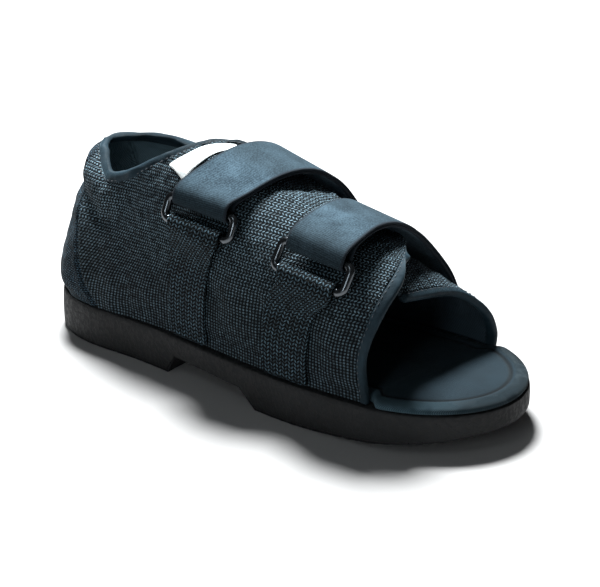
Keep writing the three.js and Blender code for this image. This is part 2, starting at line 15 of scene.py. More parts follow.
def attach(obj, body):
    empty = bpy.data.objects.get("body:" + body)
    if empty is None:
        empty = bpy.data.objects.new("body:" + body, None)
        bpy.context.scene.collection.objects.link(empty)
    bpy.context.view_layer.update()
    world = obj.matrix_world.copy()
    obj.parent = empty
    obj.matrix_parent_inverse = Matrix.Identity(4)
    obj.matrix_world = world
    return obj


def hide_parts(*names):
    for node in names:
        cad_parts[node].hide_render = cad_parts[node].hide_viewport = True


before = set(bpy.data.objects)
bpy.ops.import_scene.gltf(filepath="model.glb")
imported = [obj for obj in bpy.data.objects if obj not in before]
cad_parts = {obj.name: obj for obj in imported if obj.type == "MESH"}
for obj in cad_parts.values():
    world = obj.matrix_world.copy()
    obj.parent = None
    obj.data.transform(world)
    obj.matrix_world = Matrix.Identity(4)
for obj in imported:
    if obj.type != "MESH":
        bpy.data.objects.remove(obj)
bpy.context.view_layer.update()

scene = bpy.context.scene
scene.view_settings.view_transform = "Standard"

# %% [markdown]
# ## Camera
# All sizes below are millimetres from the back of the heel, because that is how a shoemaker measures.
# One function moves such points into the part's own frame, which has its origin under the middle.
# The camera stands far away with a long lens, which is why the sole's edges look almost parallel.
# It is aimed at the middle of the shoe, and a small shift puts the shoe where the picture has it.

# %% Units and camera
MM = 0.001
HEEL_TO_MIDDLE = np.array([141.583, 0.283, 0.0])
AZIMUTH = math.radians(37.47)
ELEVATION = math.radians(22.97)
DISTANCE, AIM = 1400, (142.5, 0, 50)
LENS, SENSOR, SHIFT = 161.64, 36, (0.029, -0.0151)
FAR_PLANE = 50


def to_part(points):
    """Millimetres from the heel become metres in the part's frame."""
    return (np.asarray(points, float) - HEEL_TO_MIDDLE) * MM


def placed(name, data):
    """A new object, linked to the scene."""
    made = bpy.data.objects.new(name, data)
    scene.collection.objects.link(made)
    return made


backward = Vector((
    math.sin(AZIMUTH) * math.cos(ELEVATION),
    -math.cos(AZIMUTH) * math.cos(ELEVATION),
    math.sin(ELEVATION),
))
camera = placed("camera", bpy.data.cameras.new("camera"))
camera.location = Vector(to_part(AIM)) + backward * DISTANCE * MM
camera.rotation_euler = (-backward).to_track_quat("-Z", "Y").to_euler()
camera.data.lens = LENS
camera.data.sensor_width = SENSOR
camera.data.shift_x, camera.data.shift_y = SHIFT
camera.data.clip_end = FAR_PLANE
scene.camera = camera
print("camera at", [round(v, 3) for v in camera.location])

# %% [markdown]
# ## Smooth curves
# Fabric has no straight lines, so every shape here is a smooth curve through a few measured points.
# A cubic curve that passes through its points makes the tables easy to read against the real shoe.
# The curve is a weighted sum of four neighbours, so numpy can read thousands of places at once.

# %% Curve helpers
def smoothstep(value, low, high):
    t = np.clip((np.asarray(value, float) - low) / (high - low), 0, 1)
    return t * t * (3 - 2 * t)


def mix(a, b, t):
    return a + (b - a) * t


def smooth_line(points, at):
    """Curve through points, read at places that count points from 0."""
    points = np.asarray(points, float)
    at = np.asarray(at, float)
    ends = 2 * points[[0, -1]] - points[[1, -2]]
    points = np.concatenate([ends[:1], points, ends[1:]])
    index = np.clip(np.floor(at).astype(int), 0, len(points) - 4)
    t = (at - index).reshape(at.shape + (1,) * (points.ndim - 1))
    a, b, c, d = (points[index + k] for k in range(4))
    curve = (c - a) * t + (2 * a - 5 * b + 4 * c - d) * t**2 + (3 * b - a - 3 * c + d) * t**3
    return b + curve / 2


def lengths(points, axis):
    """Distance travelled along one axis of a grid of points, from 0."""
    step = np.linalg.norm(np.diff(points, axis=axis), axis=-1)
    total = np.cumsum(step, axis=axis)
    start = np.zeros_like(np.take(total, [0], axis=axis))
    return np.concatenate([start, total], axis=axis)


def unit(vectors):
    return vectors / np.linalg.norm(vectors, axis=-1, keepdims=True)


# %% [markdown]
# ## From a grid to a piece
# A sheet of cloth is a grid whose points are moved to where the cloth lies, so one helper makes nearly
# every piece: create_grid gives the faces, a table of places gives the shape. Its UV map is in metres,
# measured along the cloth, so that a weave keeps its size wherever the cloth bends.
# A grid can also be wrapped: where its last points meet its first they are merged, and open ends are filled.
# A tube is such a grid whose section is closed on itself. Marks are numbers that a finish can read later.

# %% Mesh helpers
SAME_PLACE = 1e-7


def grid_mesh(places, wrap=False, flip=False, marks=None):
    """A bmesh grid on places[station, level], in millimetres from the heel. Marks are values on the grid."""
    stations, levels = places.shape[:2]
    places = to_part(places)
    bm = bmesh.new()
    cloth_map = bm.loops.layers.uv.new("cloth")
    layers = [(bm.verts.layers.float.new(name), values) for name, values in (marks or {}).items()]
    bmesh.ops.create_grid(bm, x_segments=stations - 1, y_segments=levels - 1, size=1)
    order = sorted(bm.verts, key=lambda v: (round(v.co.x, 5), round(v.co.y, 5)))
    spans = np.stack([lengths(places, 0), lengths(places, 1)], axis=-1).reshape(-1, 2)
    span_of = {}
    for vert, place, span in zip(order, places.reshape(-1, 3), spans):
        vert.co = place
        span_of[vert] = span
    for layer, values in layers:
        for vert, value in zip(order, np.broadcast_to(values, (stations, levels)).ravel()):
            vert[layer] = value
    for face in bm.faces:
        face.smooth = True
        for loop in face.loops:
            loop[cloth_map].uv = span_of[loop.vert]
    if wrap:
        bmesh.ops.remove_doubles(bm, verts=bm.verts, dist=SAME_PLACE)
        open_edges = [edge for edge in bm.edges if edge.is_boundary]
        bmesh.ops.holes_fill(bm, edges=open_edges, sides=0)
        bmesh.ops.recalc_face_normals(bm, faces=bm.faces)
    if flip:
        bmesh.ops.reverse_faces(bm, faces=bm.faces)
    return bm


def tube_mesh(places, marks=None):
    """A wrapped grid whose sections are closed on themselves."""

    def closed(grid):
        return np.concatenate([grid, grid[:, :1]], axis=1)

    spread = {name: np.broadcast_to(values, places.shape[:2]) for name, values in (marks or {}).items()}
    return grid_mesh(closed(places), wrap=True, marks={name: closed(grid) for name, grid in spread.items()})


# %% Piece helpers
def mesh_object(name, bm, *materials):
    """The bmesh becomes an object with these materials."""
    mesh = bpy.data.meshes.new(name)
    bm.to_mesh(mesh)
    bm.free()
    for material in materials:
        mesh.materials.append(material)
    return placed(name, mesh)


def finished(name, bm, node, slot, *materials):
    """A piece that stands for one CAD node."""
    piece = mesh_object(name, bm, *materials)
    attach(piece, "root")
    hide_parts(node)
    print(name, len(piece.data.polygons), "faces")
    return piece


def rounded(piece):
    """One subdivision surface, the same on screen and in a render."""
    smooth = piece.modifiers.new("rounded", "SUBSURF")
    smooth.levels = smooth.render_levels = 1
    return piece


def thickened(piece, thickness):
    """A sheet gets its thickness in millimetres, inwards from the face that shows."""
    solid = piece.modifiers.new("thickness", "SOLIDIFY")
    solid.thickness = thickness * MM
    solid.offset = -1
    return solid


# %% [markdown]
# ## Shader arithmetic
# A weave is arithmetic on the UV map. Written as nodes by hand that is dozens of lines, so a small class
# wraps a socket: adding, multiplying or subtracting two of them adds the Math node and returns its output.
# Every other node comes from one method, which takes the node's type, its settings and its inputs.
# A last method feeds the shader with what varies: its colour, its roughness and a relief.

# %% Shader helpers
class Value:
    """A number that changes over the surface."""

    def __init__(self, finish, socket):
        self.finish = finish
        self.socket = socket

    def math(self, operation, *others, first=None):
        inputs = dict(enumerate([self if first is None else first, *others]))
        return self.finish.node("ShaderNodeMath", {"operation": operation}, inputs)

    def __add__(self, other):
        return self.math("ADD", other)

    def __sub__(self, other):
        return self.math("SUBTRACT", other)

    def __rsub__(self, other):
        return self.math("SUBTRACT", self, first=other)

    def __mul__(self, other):
        return self.math("MULTIPLY", other)

    def __truediv__(self, other):
        return self.math("DIVIDE", other)

    def __pow__(self, other):
        return self.math("POWER", other)

    __radd__ = __add__
    __rmul__ = __mul__

    def sin(self):
        return self.math("SINE")

    def absolute(self):
        return self.math("ABSOLUTE")

    def fraction(self):
        return self.math("FRACT")

    def at_least(self, other):
        return self.math("MAXIMUM", other)

    def toward(self, other, share):
        return self * (1 - share) + other * share

    def ramp(self, low, high):
        """0 below low, 1 above high, smooth between."""
        settings = {"interpolation_type": "SMOOTHSTEP"}
        return self.finish.node("ShaderNodeMapRange", settings, {0: self, 1: low, 2: high, 3: 0.0, 4: 1.0})


# %% Finish helper
class Finish:
    """A material with one principled shader and the nodes that feed it."""

    def __init__(self, name, **constants):
        self.material = bpy.data.materials.new(name)
        self.material.use_nodes = True
        self.nodes = self.material.node_tree.nodes
        self.links = self.material.node_tree.links
        self.shader = self.nodes["Principled BSDF"]
        for socket, value in constants.items():
            self.shader.inputs[socket.replace("_", " ")].default_value = value

    def put(self, socket, value):
        if isinstance(value, Value):
            self.links.new(value.socket, socket)
        elif isinstance(value, tuple) and len(value) == 3 and socket.type == "RGBA":
            socket.default_value = (*value, 1)
        else:
            socket.default_value = value

    def node(self, kind, settings, inputs, output=0):
        made = self.nodes.new(kind)
        for name, value in settings.items():
            setattr(made, name, value)
        for key, value in inputs.items():
            self.put(made.inputs[key], value)
        return Value(self, made.outputs[output])

    def millimetres(self, vector):
        """The first two parts of a vector that is in metres."""
        return [self.node("ShaderNodeSeparateXYZ", {}, {0: vector}, axis) * 1000 for axis in (0, 1)]

    def cloth(self):
        """Distance along and across the cloth."""
        return self.millimetres(self.node("ShaderNodeUVMap", {"uv_map": "cloth"}, {}))

    def place(self):
        return self.node("ShaderNodeTexCoord", {}, {}, "Object")

    def mark(self, name):
        """A number that the mesh carries on its vertices."""
        return self.node("ShaderNodeAttribute", {"attribute_name": name}, {}, "Fac")

    def noise(self, size, detail):
        """Soft random spots of about this size in millimetres."""
        inputs = {"Vector": self.place(), "Scale": 1000 / size, "Detail": detail}
        return self.node("ShaderNodeTexNoise", {}, inputs, "Fac")

    def weave(self, fineness):
        """Threads over and under each other, from 0 to 1."""
        along, across = self.cloth()
        return (along * fineness).sin() * (across * fineness).sin() * 0.5 + 0.5

    def colour(self, a, b, t):
        inputs = {"Factor": t, 6: a, 7: b}
        return self.node("ShaderNodeMix", {"data_type": "RGBA"}, inputs, 2)

    def made_of(self, colour, roughness, height=None, depth=0.0):
        """The finished material; a height from 0 to 1 becomes relief of depth millimetres."""
        varying = {"Base Color": colour, "Roughness": roughness}
        if height is not None:
            relief = {"Height": height, "Distance": depth * MM, "Strength": 1.0}
            varying["Normal"] = self.node("ShaderNodeBump", {}, relief)
        for socket, value in varying.items():
            self.put(self.shader.inputs[socket], value)
        return self.material


# %% [markdown]
# ## Net fabric
# The upper is a padded net: columns of fat stitches over a dark foam. A photograph of the fabric would give
# that, but a script without pictures has to draw it.
# Each stitch is a round nub in its own cell, and the columns of stitches lean left and right by turns, so
# that they read as zigzag chains. The nub's height gives the relief, and it also mixes the colour from the
# dark gap to the yarn, which gathers at the nub's top as a painted highlight.
# Low on the sides the net is slack, so its columns are straight. Higher up it is stretched over the foot,
# where its chains open. Its colour is painted darker low on the sides and lighter higher up, as painted shade
# and painted light. The tabs are the same idea in a coarser webbing.

# %% Net finish
# How soon a nub falls off along and across, how round its top is, and how sharply its painted highlight
# gathers at the top.
NUB_FALL, NUB_ROUND, NUB_PAINTED_HIGHLIGHT = (6.0, 4.2), 0.6, 2.1


def net_finish(name, pitch, yarn, gap, depth, sway, stretch=None):
    """A net of nubs; stretch gives the distances from the foot between which the net opens and is painted
    lighter.
    """
    finish = Finish(name, Specular_IOR_Level=0.15)
    along, across = finish.cloth()
    wander = (finish.noise(14, 1.0) - 0.5) * 0.5
    row = across / pitch[1] + wander
    lean = ((row * 0.5).fraction() - 0.5).absolute() * 2
    open_net = across.ramp(*stretch) if stretch else 1.0
    column = along / pitch[0] + lean * (open_net * sway) + wander * 0.6
    in_row = row.fraction() - 0.5
    in_column = column.fraction() - 0.5
    reach = in_column * in_column * NUB_FALL[0] + in_row * in_row * NUB_FALL[1]
    nub = (1 - reach).at_least(0.0) ** NUB_ROUND
    worn = finish.noise(2.4, 2.0).ramp(0.3, 0.7)
    # Painted light: the yarn's colour gathers at each nub's top as a painted highlight, and the net is
    # painted darker near the foot and lighter where it opens higher up.
    yarn_share_and_painted_light = nub**NUB_PAINTED_HIGHLIGHT * (0.25 + worn * 0.75) * (0.55 + open_net * 0.45)
    return finish.made_of(finish.colour(gap, yarn, yarn_share_and_painted_light), 0.95 - nub * 0.3, nub, depth)


# Name, pitch along and across, colours of the yarn and the gaps, depth of the relief, sway of the columns.
net_cloth = net_finish(
    "net_cloth", (2.0, 1.7), (0.165, 0.255, 0.312), (0.0015, 0.0028, 0.0036), 0.7, 0.75, stretch=(24, 62),
)
heel_cloth = net_finish("heel_cloth", (1.9, 1.4), (0.056, 0.108, 0.150), (0.002, 0.0035, 0.005), 0.5, 0.9)
tab_webbing = net_finish("tab_webbing", (2.2, 2.0), (0.084, 0.146, 0.186), (0.0005, 0.0008, 0.001), 0.8, 0.8)
print("net finishes made")

# %% [markdown]
# ## Brushed strap fabric, binding and lining
# The straps are brushed loop fabric: a fine diagonal grain under a short pile, with a little sheen where
# light skims over it. A mark on the mesh paints shade on the strap beside its fold round a bar and where it
# is drawn over the foot, and another mark shows the bare selvage.
# The bindings are a satin tape folded round the raw edge, smooth with a fine twill and small puckers.
# The lining is the plain dark cloth on the inside of the upper, painted lighter at the heel and darker
# towards the toe, as painted light and painted shade.

# %% Plain cloth finishes
def brushed_finish():
    finish = Finish(
        "brushed_strap", Sheen_Weight=0.04, Sheen_Roughness=0.4, Sheen_Tint=(0.75, 0.9, 1, 1),
        Specular_IOR_Level=0.1,
    )
    along, across = finish.cloth()
    grain = (along * 2.6 + across * 4.2).sin() * (across * 5.1 - along * 3.4).sin() * 0.5 + 0.5
    pile = finish.noise(0.8, 4.0)
    patches = finish.noise(11, 3.0).ramp(0.2, 0.8)
    tone = grain * 0.28 + pile * 0.57 + patches * 0.15
    nap = finish.colour((0.009, 0.017, 0.024), (0.064, 0.106, 0.138), tone.ramp(0.27, 0.73))
    # Painted shade: the mark darkens the pile beside the fold round the bar and where the strap is drawn over
    # the foot.
    nap = finish.colour(nap, (0.006, 0.011, 0.014), finish.mark("painted_strap_shade") * (1.1 - tone * 0.5))
    nap = finish.colour(nap, (0.012, 0.016, 0.021), finish.mark("selvage"))
    return finish.made_of(nap, 0.95 - tone * 0.15, grain * 0.3 + pile * 0.7, 0.16)


def binding_finish():
    finish = Finish(
        "satin_binding", Sheen_Weight=0.08, Sheen_Roughness=0.3, Sheen_Tint=(0.6, 0.86, 1, 1),
        Specular_IOR_Level=0.14,
    )
    along, across = finish.cloth()
    twill = ((along + across) * 9.0).sin() * 0.5 + 0.5
    puckers = finish.noise(4.5, 2.0)
    patches = finish.noise(16, 2.0).ramp(0.3, 0.7)
    satin = finish.colour((0.004, 0.0095, 0.0135), (0.016, 0.034, 0.047), patches * 0.6 + twill * 0.4)
    return finish.made_of(satin, 0.5 + puckers * 0.25, puckers * 0.8 + twill * 0.2, 0.5)


def lining_finish():
    finish = Finish("lining", Specular_IOR_Level=0.2)
    weave = finish.weave(5.0)
    forward, _ = finish.millimetres(finish.place())
    # Painted light and shade: the lining is lighter at the heel and darker from the middle towards the toe.
    painted_lit_heel_lining = finish.colour((0.050, 0.080, 0.095), (0.140, 0.205, 0.235), weave)
    painted_shaded_toe_lining = finish.colour((0.010, 0.017, 0.023), (0.034, 0.054, 0.070), weave)
    tone = finish.colour(painted_lit_heel_lining, painted_shaded_toe_lining, forward.ramp(-75, -25))
    return finish.made_of(tone, 0.85 + weave * 0.1, weave, 0.2)


def thread_finish():
    finish = Finish("thread", Sheen_Weight=0.2, Specular_IOR_Level=0.4)
    twist = finish.noise(0.4, 2.0)
    yarn = finish.colour((0.02, 0.026, 0.032), (0.06, 0.072, 0.085), twist)
    return finish.made_of(yarn, 0.55 + twist * 0.2)


brushed_strap = brushed_finish()
satin_binding = binding_finish()
lining = lining_finish()
thread = thread_finish()
print("cloth finishes made")

# %% [markdown]
# ## Foam, footbed, wire and label
# The sole is moulded foam: matte and nearly black, with a fine closed grain in soft clouds, and its underside
# is a ribbed tread. The footbed's cover is a knit, wrapped over the edge, where it is gathered into fine
# ribs;
# that edge is painted lighter along the sides and darker round the toe, as painted light and painted shade.
# Its groove is dark.
# The rings are plated black wire: a dark metal, so they take their look from what they mirror.
# The label is a bare white woven tape.

# %% Hard and smooth finishes
def foam_finish():
    finish = Finish("sole_foam", Specular_IOR_Level=0.35)
    grain = finish.noise(2.2, 5.0).ramp(0.38, 0.62)
    cloud = finish.noise(30, 2.0).ramp(0.3, 0.7)
    foam = finish.colour((0.0025, 0.0026, 0.0028), (0.0175, 0.0182, 0.0193), cloud * 0.35 + grain * 0.65)
    return finish.made_of(foam, 0.62 + grain * 0.25, grain, 0.2)


def tread_finish():
    finish = Finish("tread_rubber", Specular_IOR_Level=0.4)
    x, y = finish.millimetres(finish.place())
    ribs = ((x + (y * 0.35).sin() * 2.0) * 0.9).sin().ramp(-0.3, 0.3)
    rubber = finish.colour((0.004, 0.004, 0.0045), (0.010, 0.010, 0.011), ribs)
    return finish.made_of(rubber, 0.7 + ribs * 0.15, ribs, 0.8)


def footbed_finish():
    finish = Finish("footbed_cover", Sheen_Weight=0.05, Sheen_Tint=(0.7, 0.9, 1, 1), Specular_IOR_Level=0.12)
    knit = finish.weave(7.0)
    along, _ = finish.cloth()
    ribs = (along * 5.6).sin() * 0.5 + 0.5
    wrap = finish.mark("wrapped_edge")
    spots = finish.noise(12, 3.0).ramp(0.3, 0.7)
    gathers = ribs * finish.noise(9, 1.0).ramp(0.3, 0.6)
    x, y = finish.millimetres(finish.place())
    # Painted light and shade: the wrapped edge is lighter along the sides and darker round the toe.
    painted_shaded_footbed_edge = finish.colour((0.004, 0.0090, 0.0125), (0.018, 0.034, 0.044), gathers)
    painted_lit_footbed_edge = finish.colour((0.017, 0.0340, 0.0440), (0.060, 0.106, 0.132), gathers)
    edge = finish.colour(painted_lit_footbed_edge, painted_shaded_footbed_edge, (x + y * 0.8).ramp(75, 125))
    cover = finish.colour((0.0034, 0.0088, 0.0130), (0.0090, 0.0200, 0.0285), spots * 0.3 + knit * 0.5)
    cover = finish.colour(cover, edge, wrap)
    cover = finish.colour(cover, (0.0015, 0.0035, 0.005), finish.mark("stitched_groove"))
    return finish.made_of(cover, 0.75 + knit * 0.15, (knit * 0.3).toward(gathers, wrap), 0.4)


def wire_finish():
    finish = Finish("black_wire", Metallic=1.0)
    dips = finish.noise(5, 2.0)
    plating = finish.colour((0.085, 0.094, 0.103), (0.115, 0.126, 0.137), dips)
    return finish.made_of(plating, 0.17 + dips * 0.1, dips, 0.05)


def label_finish():
    finish = Finish("label_cloth", Specular_IOR_Level=0.3)
    weave = finish.weave(8.0)
    age = finish.noise(8, 2.0).ramp(0.3, 0.8)
    tape = finish.colour((0.72, 0.75, 0.74), (0.80, 0.83, 0.82), age * 0.6 + weave * 0.4)
    return finish.made_of(tape, 0.75 + weave * 0.15, weave, 0.12)


sole_foam = foam_finish()
tread_rubber = tread_finish()
footbed_cover = footbed_finish()
black_wire = wire_finish()
label_cloth = label_finish()
print("hard finishes made")

# %% [markdown]
# ## The sole's plan
# A shoe sole is two round ends on a body that widens from the heel to the ball. A superellipse gives the
# fuller curve of a real last, and the toe swings a little to the inner side of the foot.
# The underside is flat under the heel, rolls up at the back, rocks up at the toe, and has a shallow gap
# under the arch.

# %% Sole plan
SOLE_LENGTH = 285
HEEL_HALF_WIDTH, BALL_HALF_WIDTH = 35.6, 51.8
HEEL_CAP, HEEL_POWER = 48, 2.2
TOE_CAP, TOE_POWER = 61.5, 1.98
WIDEN_FROM, WIDEN_TO = 60, 199.5
TOE_SWING, SWING_FROM = 4.6, 80
SOLE_TOP = 22
ROCKER_FROM, TOE_SPRING, HEEL_ROUND = 173, 11.7, 13.5
ARCH_GAP = [(94.5, 0), (100.5, 10.4), (148.5, 9), (159.5, 0)]


def sole_half_width(x, inset=0.0):
    width = mix(HEEL_HALF_WIDTH, BALL_HALF_WIDTH, smoothstep(x, WIDEN_FROM, WIDEN_TO)) - inset
    heel = np.clip((HEEL_CAP - x) / (HEEL_CAP - inset), 0, 1)
    toe = np.clip((x - SOLE_LENGTH + TOE_CAP) / (TOE_CAP - inset), 0, 1)
    return width * (1 - heel**HEEL_POWER) ** (1 / HEEL_POWER) * (1 - toe**TOE_POWER) ** (1 / TOE_POWER)


def sole_middle(x):
    return TOE_SWING * smoothstep(x, SWING_FROM, SOLE_LENGTH)


def sole_bottom(x):
    rise = np.clip((HEEL_ROUND - x) / HEEL_ROUND, 0, 1)
    heel = HEEL_ROUND * (1 - np.sqrt(1 - rise**2))
    arch = np.interp(x, *np.transpose(ARCH_GAP), left=0, right=0)
    toe = TOE_SPRING * np.clip((x - ROCKER_FROM) / (SOLE_LENGTH - ROCKER_FROM), 0, 1) ** 2
    return heel + arch + toe


def sole_stations(heel_count, middle, toe_count):
    """Distances along the sole that crowd at both round ends, and how far an inset of 1 moves each."""
    heel = np.cos(np.linspace(0, math.pi / 2, heel_count))
    toe = np.sin(np.linspace(0, math.pi / 2, toe_count))
    x = np.concatenate([HEEL_CAP * (1 - heel), middle, SOLE_LENGTH - TOE_CAP * (1 - toe)])
    return x, np.concatenate([heel, np.zeros(len(middle)), -toe])


print("sole is", SOLE_LENGTH, "mm long and", 2 * BALL_HALF_WIDTH, "mm wide at the ball")

# %% [markdown]
# ## Outsole
# The sole could be an extruded outline, but then the arch gap and the rocker would have to be cut from it.
# A loft of cross sections is simpler: each section is one ring of a tube.
# The lowest band of faces is the thin black tread, set in a little so that it reads as a dark line.

# %% Outsole
# Inset from the edge and share of the height, from the tread's edge to the top edge.
SOLE_SECTION = [
    (3.0, 0.0), (1.3, 0.0), (1.0, 0.02), (1.0, 0.07), (0.75, 0.085), (0.3, 0.10), (0.1, 0.25),
    (0.0, 0.5), (0.15, 0.75), (0.35, 0.88), (0.7, 0.955), (1.3, 0.99), (2.4, 1.0),
]
# Height of the tread as a share of the sole's, and how far inside the tips the loft starts and stops.
TREAD_SHARE, SOLE_TIP = 0.08, 0.05
# Largest share of the half width that an inset takes, and reach of the sections beside an arch corner.
MOST_INSET, ARCH_EDGE = 0.6, 0.35
# Stations round the heel and round the toe, and distances of those between.
HEEL_STATIONS, TOE_STATIONS, SIDE_STATIONS = 22, 30, np.arange(52, 224, 6)
# Edges that bend more than this stay sharp.
SHARP_FROM = math.radians(38)


def sole_places():
    arch = [x + d for x, _ in ARCH_GAP for d in (-ARCH_EDGE, 0, ARCH_EDGE)]
    x, shift = sole_stations(HEEL_STATIONS, [*SIDE_STATIONS, *arch], TOE_STATIONS)
    x = np.unique((x + SOLE_TIP * shift).round(4))
    inset, share = np.transpose(SOLE_SECTION)
    half = sole_half_width(x)[:, None]
    side = half - np.minimum(inset, MOST_INSET * half)
    height = mix(sole_bottom(x)[:, None], SOLE_TOP, share)
    x = np.broadcast_to(x[:, None], side.shape)
    middle = sole_middle(x)
    inner = np.stack([x, middle + side, height], axis=-1)
    outer = np.stack([x, middle - side, height], axis=-1)
    return np.concatenate([outer, inner[:, ::-1]], axis=1)


bm = tube_mesh(sole_places())
for face in bm.faces:
    centre = face.calc_center_median()
    under = float(sole_bottom(centre.x / MM + HEEL_TO_MIDDLE[0])) * MM
    face.material_index = int(centre.z < under + TREAD_SHARE * SOLE_TOP * MM)
outsole = finished("outsole_foam", bm, "outsole", "sole_foam", sole_foam, tread_rubber)
outsole.data.set_sharp_from_angle(angle=SHARP_FROM)

# %% [markdown]
# ## Footbed
# The footbed is a thin foam pad with a knit cover. The cover is wrapped over the edge and held by a stitched
# groove a few millimetres in. It lies inside the upper, and reaches the sole's edge only in front of the
# flaps.
# Cross sections would break up its rim at the toe, so here rings of the rim's section run round the outline,
# and a few more levels close the pad towards a middle line. Two marks tell its finish where the wrapped edge
# and the groove are.

# %% Footbed
FOOTBED_BOTTOM = 22.3
FOOTBED_INSIDE, FOOTBED_AT_TOE = 7.2, 0.8
FLAP_FRONTS = {-1: 229.5, 1: 243}
# Inset from the footbed's edge and height over its underside.
FOOTBED_SECTION = np.array([
    (1.4, 0.0), (0.3, 0.5), (0.0, 1.4), (0.2, 2.4), (0.9, 3.4), (2.2, 4.2), (4.2, 4.7), (6.2, 4.8),
    (7.6, 4.55), (8.5, 3.9), (9.1, 3.6), (9.7, 3.9), (10.8, 4.3), (13, 4.5), (17, 4.55),
])
# Widths of the wrapped edge and the groove, as insets.
WRAP_WIDTH, GROOVE = 7, (8.2, 10)
# Ends of the middle line, and shares of the way to it for the levels that close the underside and the top.
FOOTBED_SPINE, UNDER_SHARES, TOP_SHARES = (48, 232), (1, 0.5), (0.35, 0.7, 1)
# Distances in front of a flap over which the footbed widens to the sole's edge.
WIDENS = (1.2, 6)
# Rings of the section round the heel, along a side and round the toe.
FOOTBED_RINGS = (20, 26, 44)


def footbed_side(sign):
    """Rings of the section along one side, from the middle of the heel to the middle of the toe."""
    heel_count, side_count, toe_count = FOOTBED_RINGS
    middle = np.linspace(HEEL_CAP, SOLE_LENGTH - TOE_CAP, side_count)[1:-1]
    at_edge, shift = sole_stations(heel_count, middle, toe_count)
    widening = smoothstep(at_edge, *np.add(FLAP_FRONTS[sign], WIDENS))
    inset = mix(FOOTBED_INSIDE, FOOTBED_AT_TOE, widening)[:, None] + FOOTBED_SECTION[:, 0]
    x = at_edge[:, None] + shift[:, None] * inset
    y = sole_middle(x) + sign * sole_half_width(x, inset)
    z = np.broadcast_to(FOOTBED_BOTTOM + FOOTBED_SECTION[:, 1], x.shape)
    rings = np.stack([x, y, z], axis=-1)
    spine = np.clip(at_edge, *FOOTBED_SPINE)[:, None]
    spine = np.stack([spine, sole_middle(spine)], axis=-1)
    levels = []
    for ring, shares in ((rings[:, :1], UNDER_SHARES), (rings[:, -1:], TOP_SHARES)):
        inner = np.concatenate([spine, ring[..., 2:]], axis=-1)
        levels.append(np.concatenate([mix(ring, inner, share) for share in shares], axis=1))
    return np.concatenate([levels[0], rings, levels[1]], axis=1)


def footbed_marks():
    inset, rise = FOOTBED_SECTION.T
    wrapped = (inset < WRAP_WIDTH) & (rise > 0)
    groove = (inset > GROOVE[0]) & (inset < GROOVE[1])
    return {
        name: np.pad(level.astype(float), (len(UNDER_SHARES), len(TOP_SHARES)))
        for name, level in (("wrapped_edge", wrapped), ("stitched_groove", groove))
    }


footbed_places = np.concatenate([footbed_side(-1), footbed_side(1)[-2::-1]])
bm = grid_mesh(footbed_places, wrap=True, marks=footbed_marks())
footbed = rounded(finished("footbed_pad", bm, "footbed", "footbed_cloth", footbed_cover))

# %% [markdown]
# ## The upper as one surface
# The two flaps, the heel panel and all the bindings lie on one curved wall, so that wall is described once.
# Each row of the table is a section of the wall: its foot, three heights on the way up, and its edge.
# Five smooth rails run through all the rows, and a rib across the rails gives any point between them.
# A row place and a share of the rib's length are then all that a piece needs to find its points.

# %% Table of the upper
UPPER_FOOT = 22.3
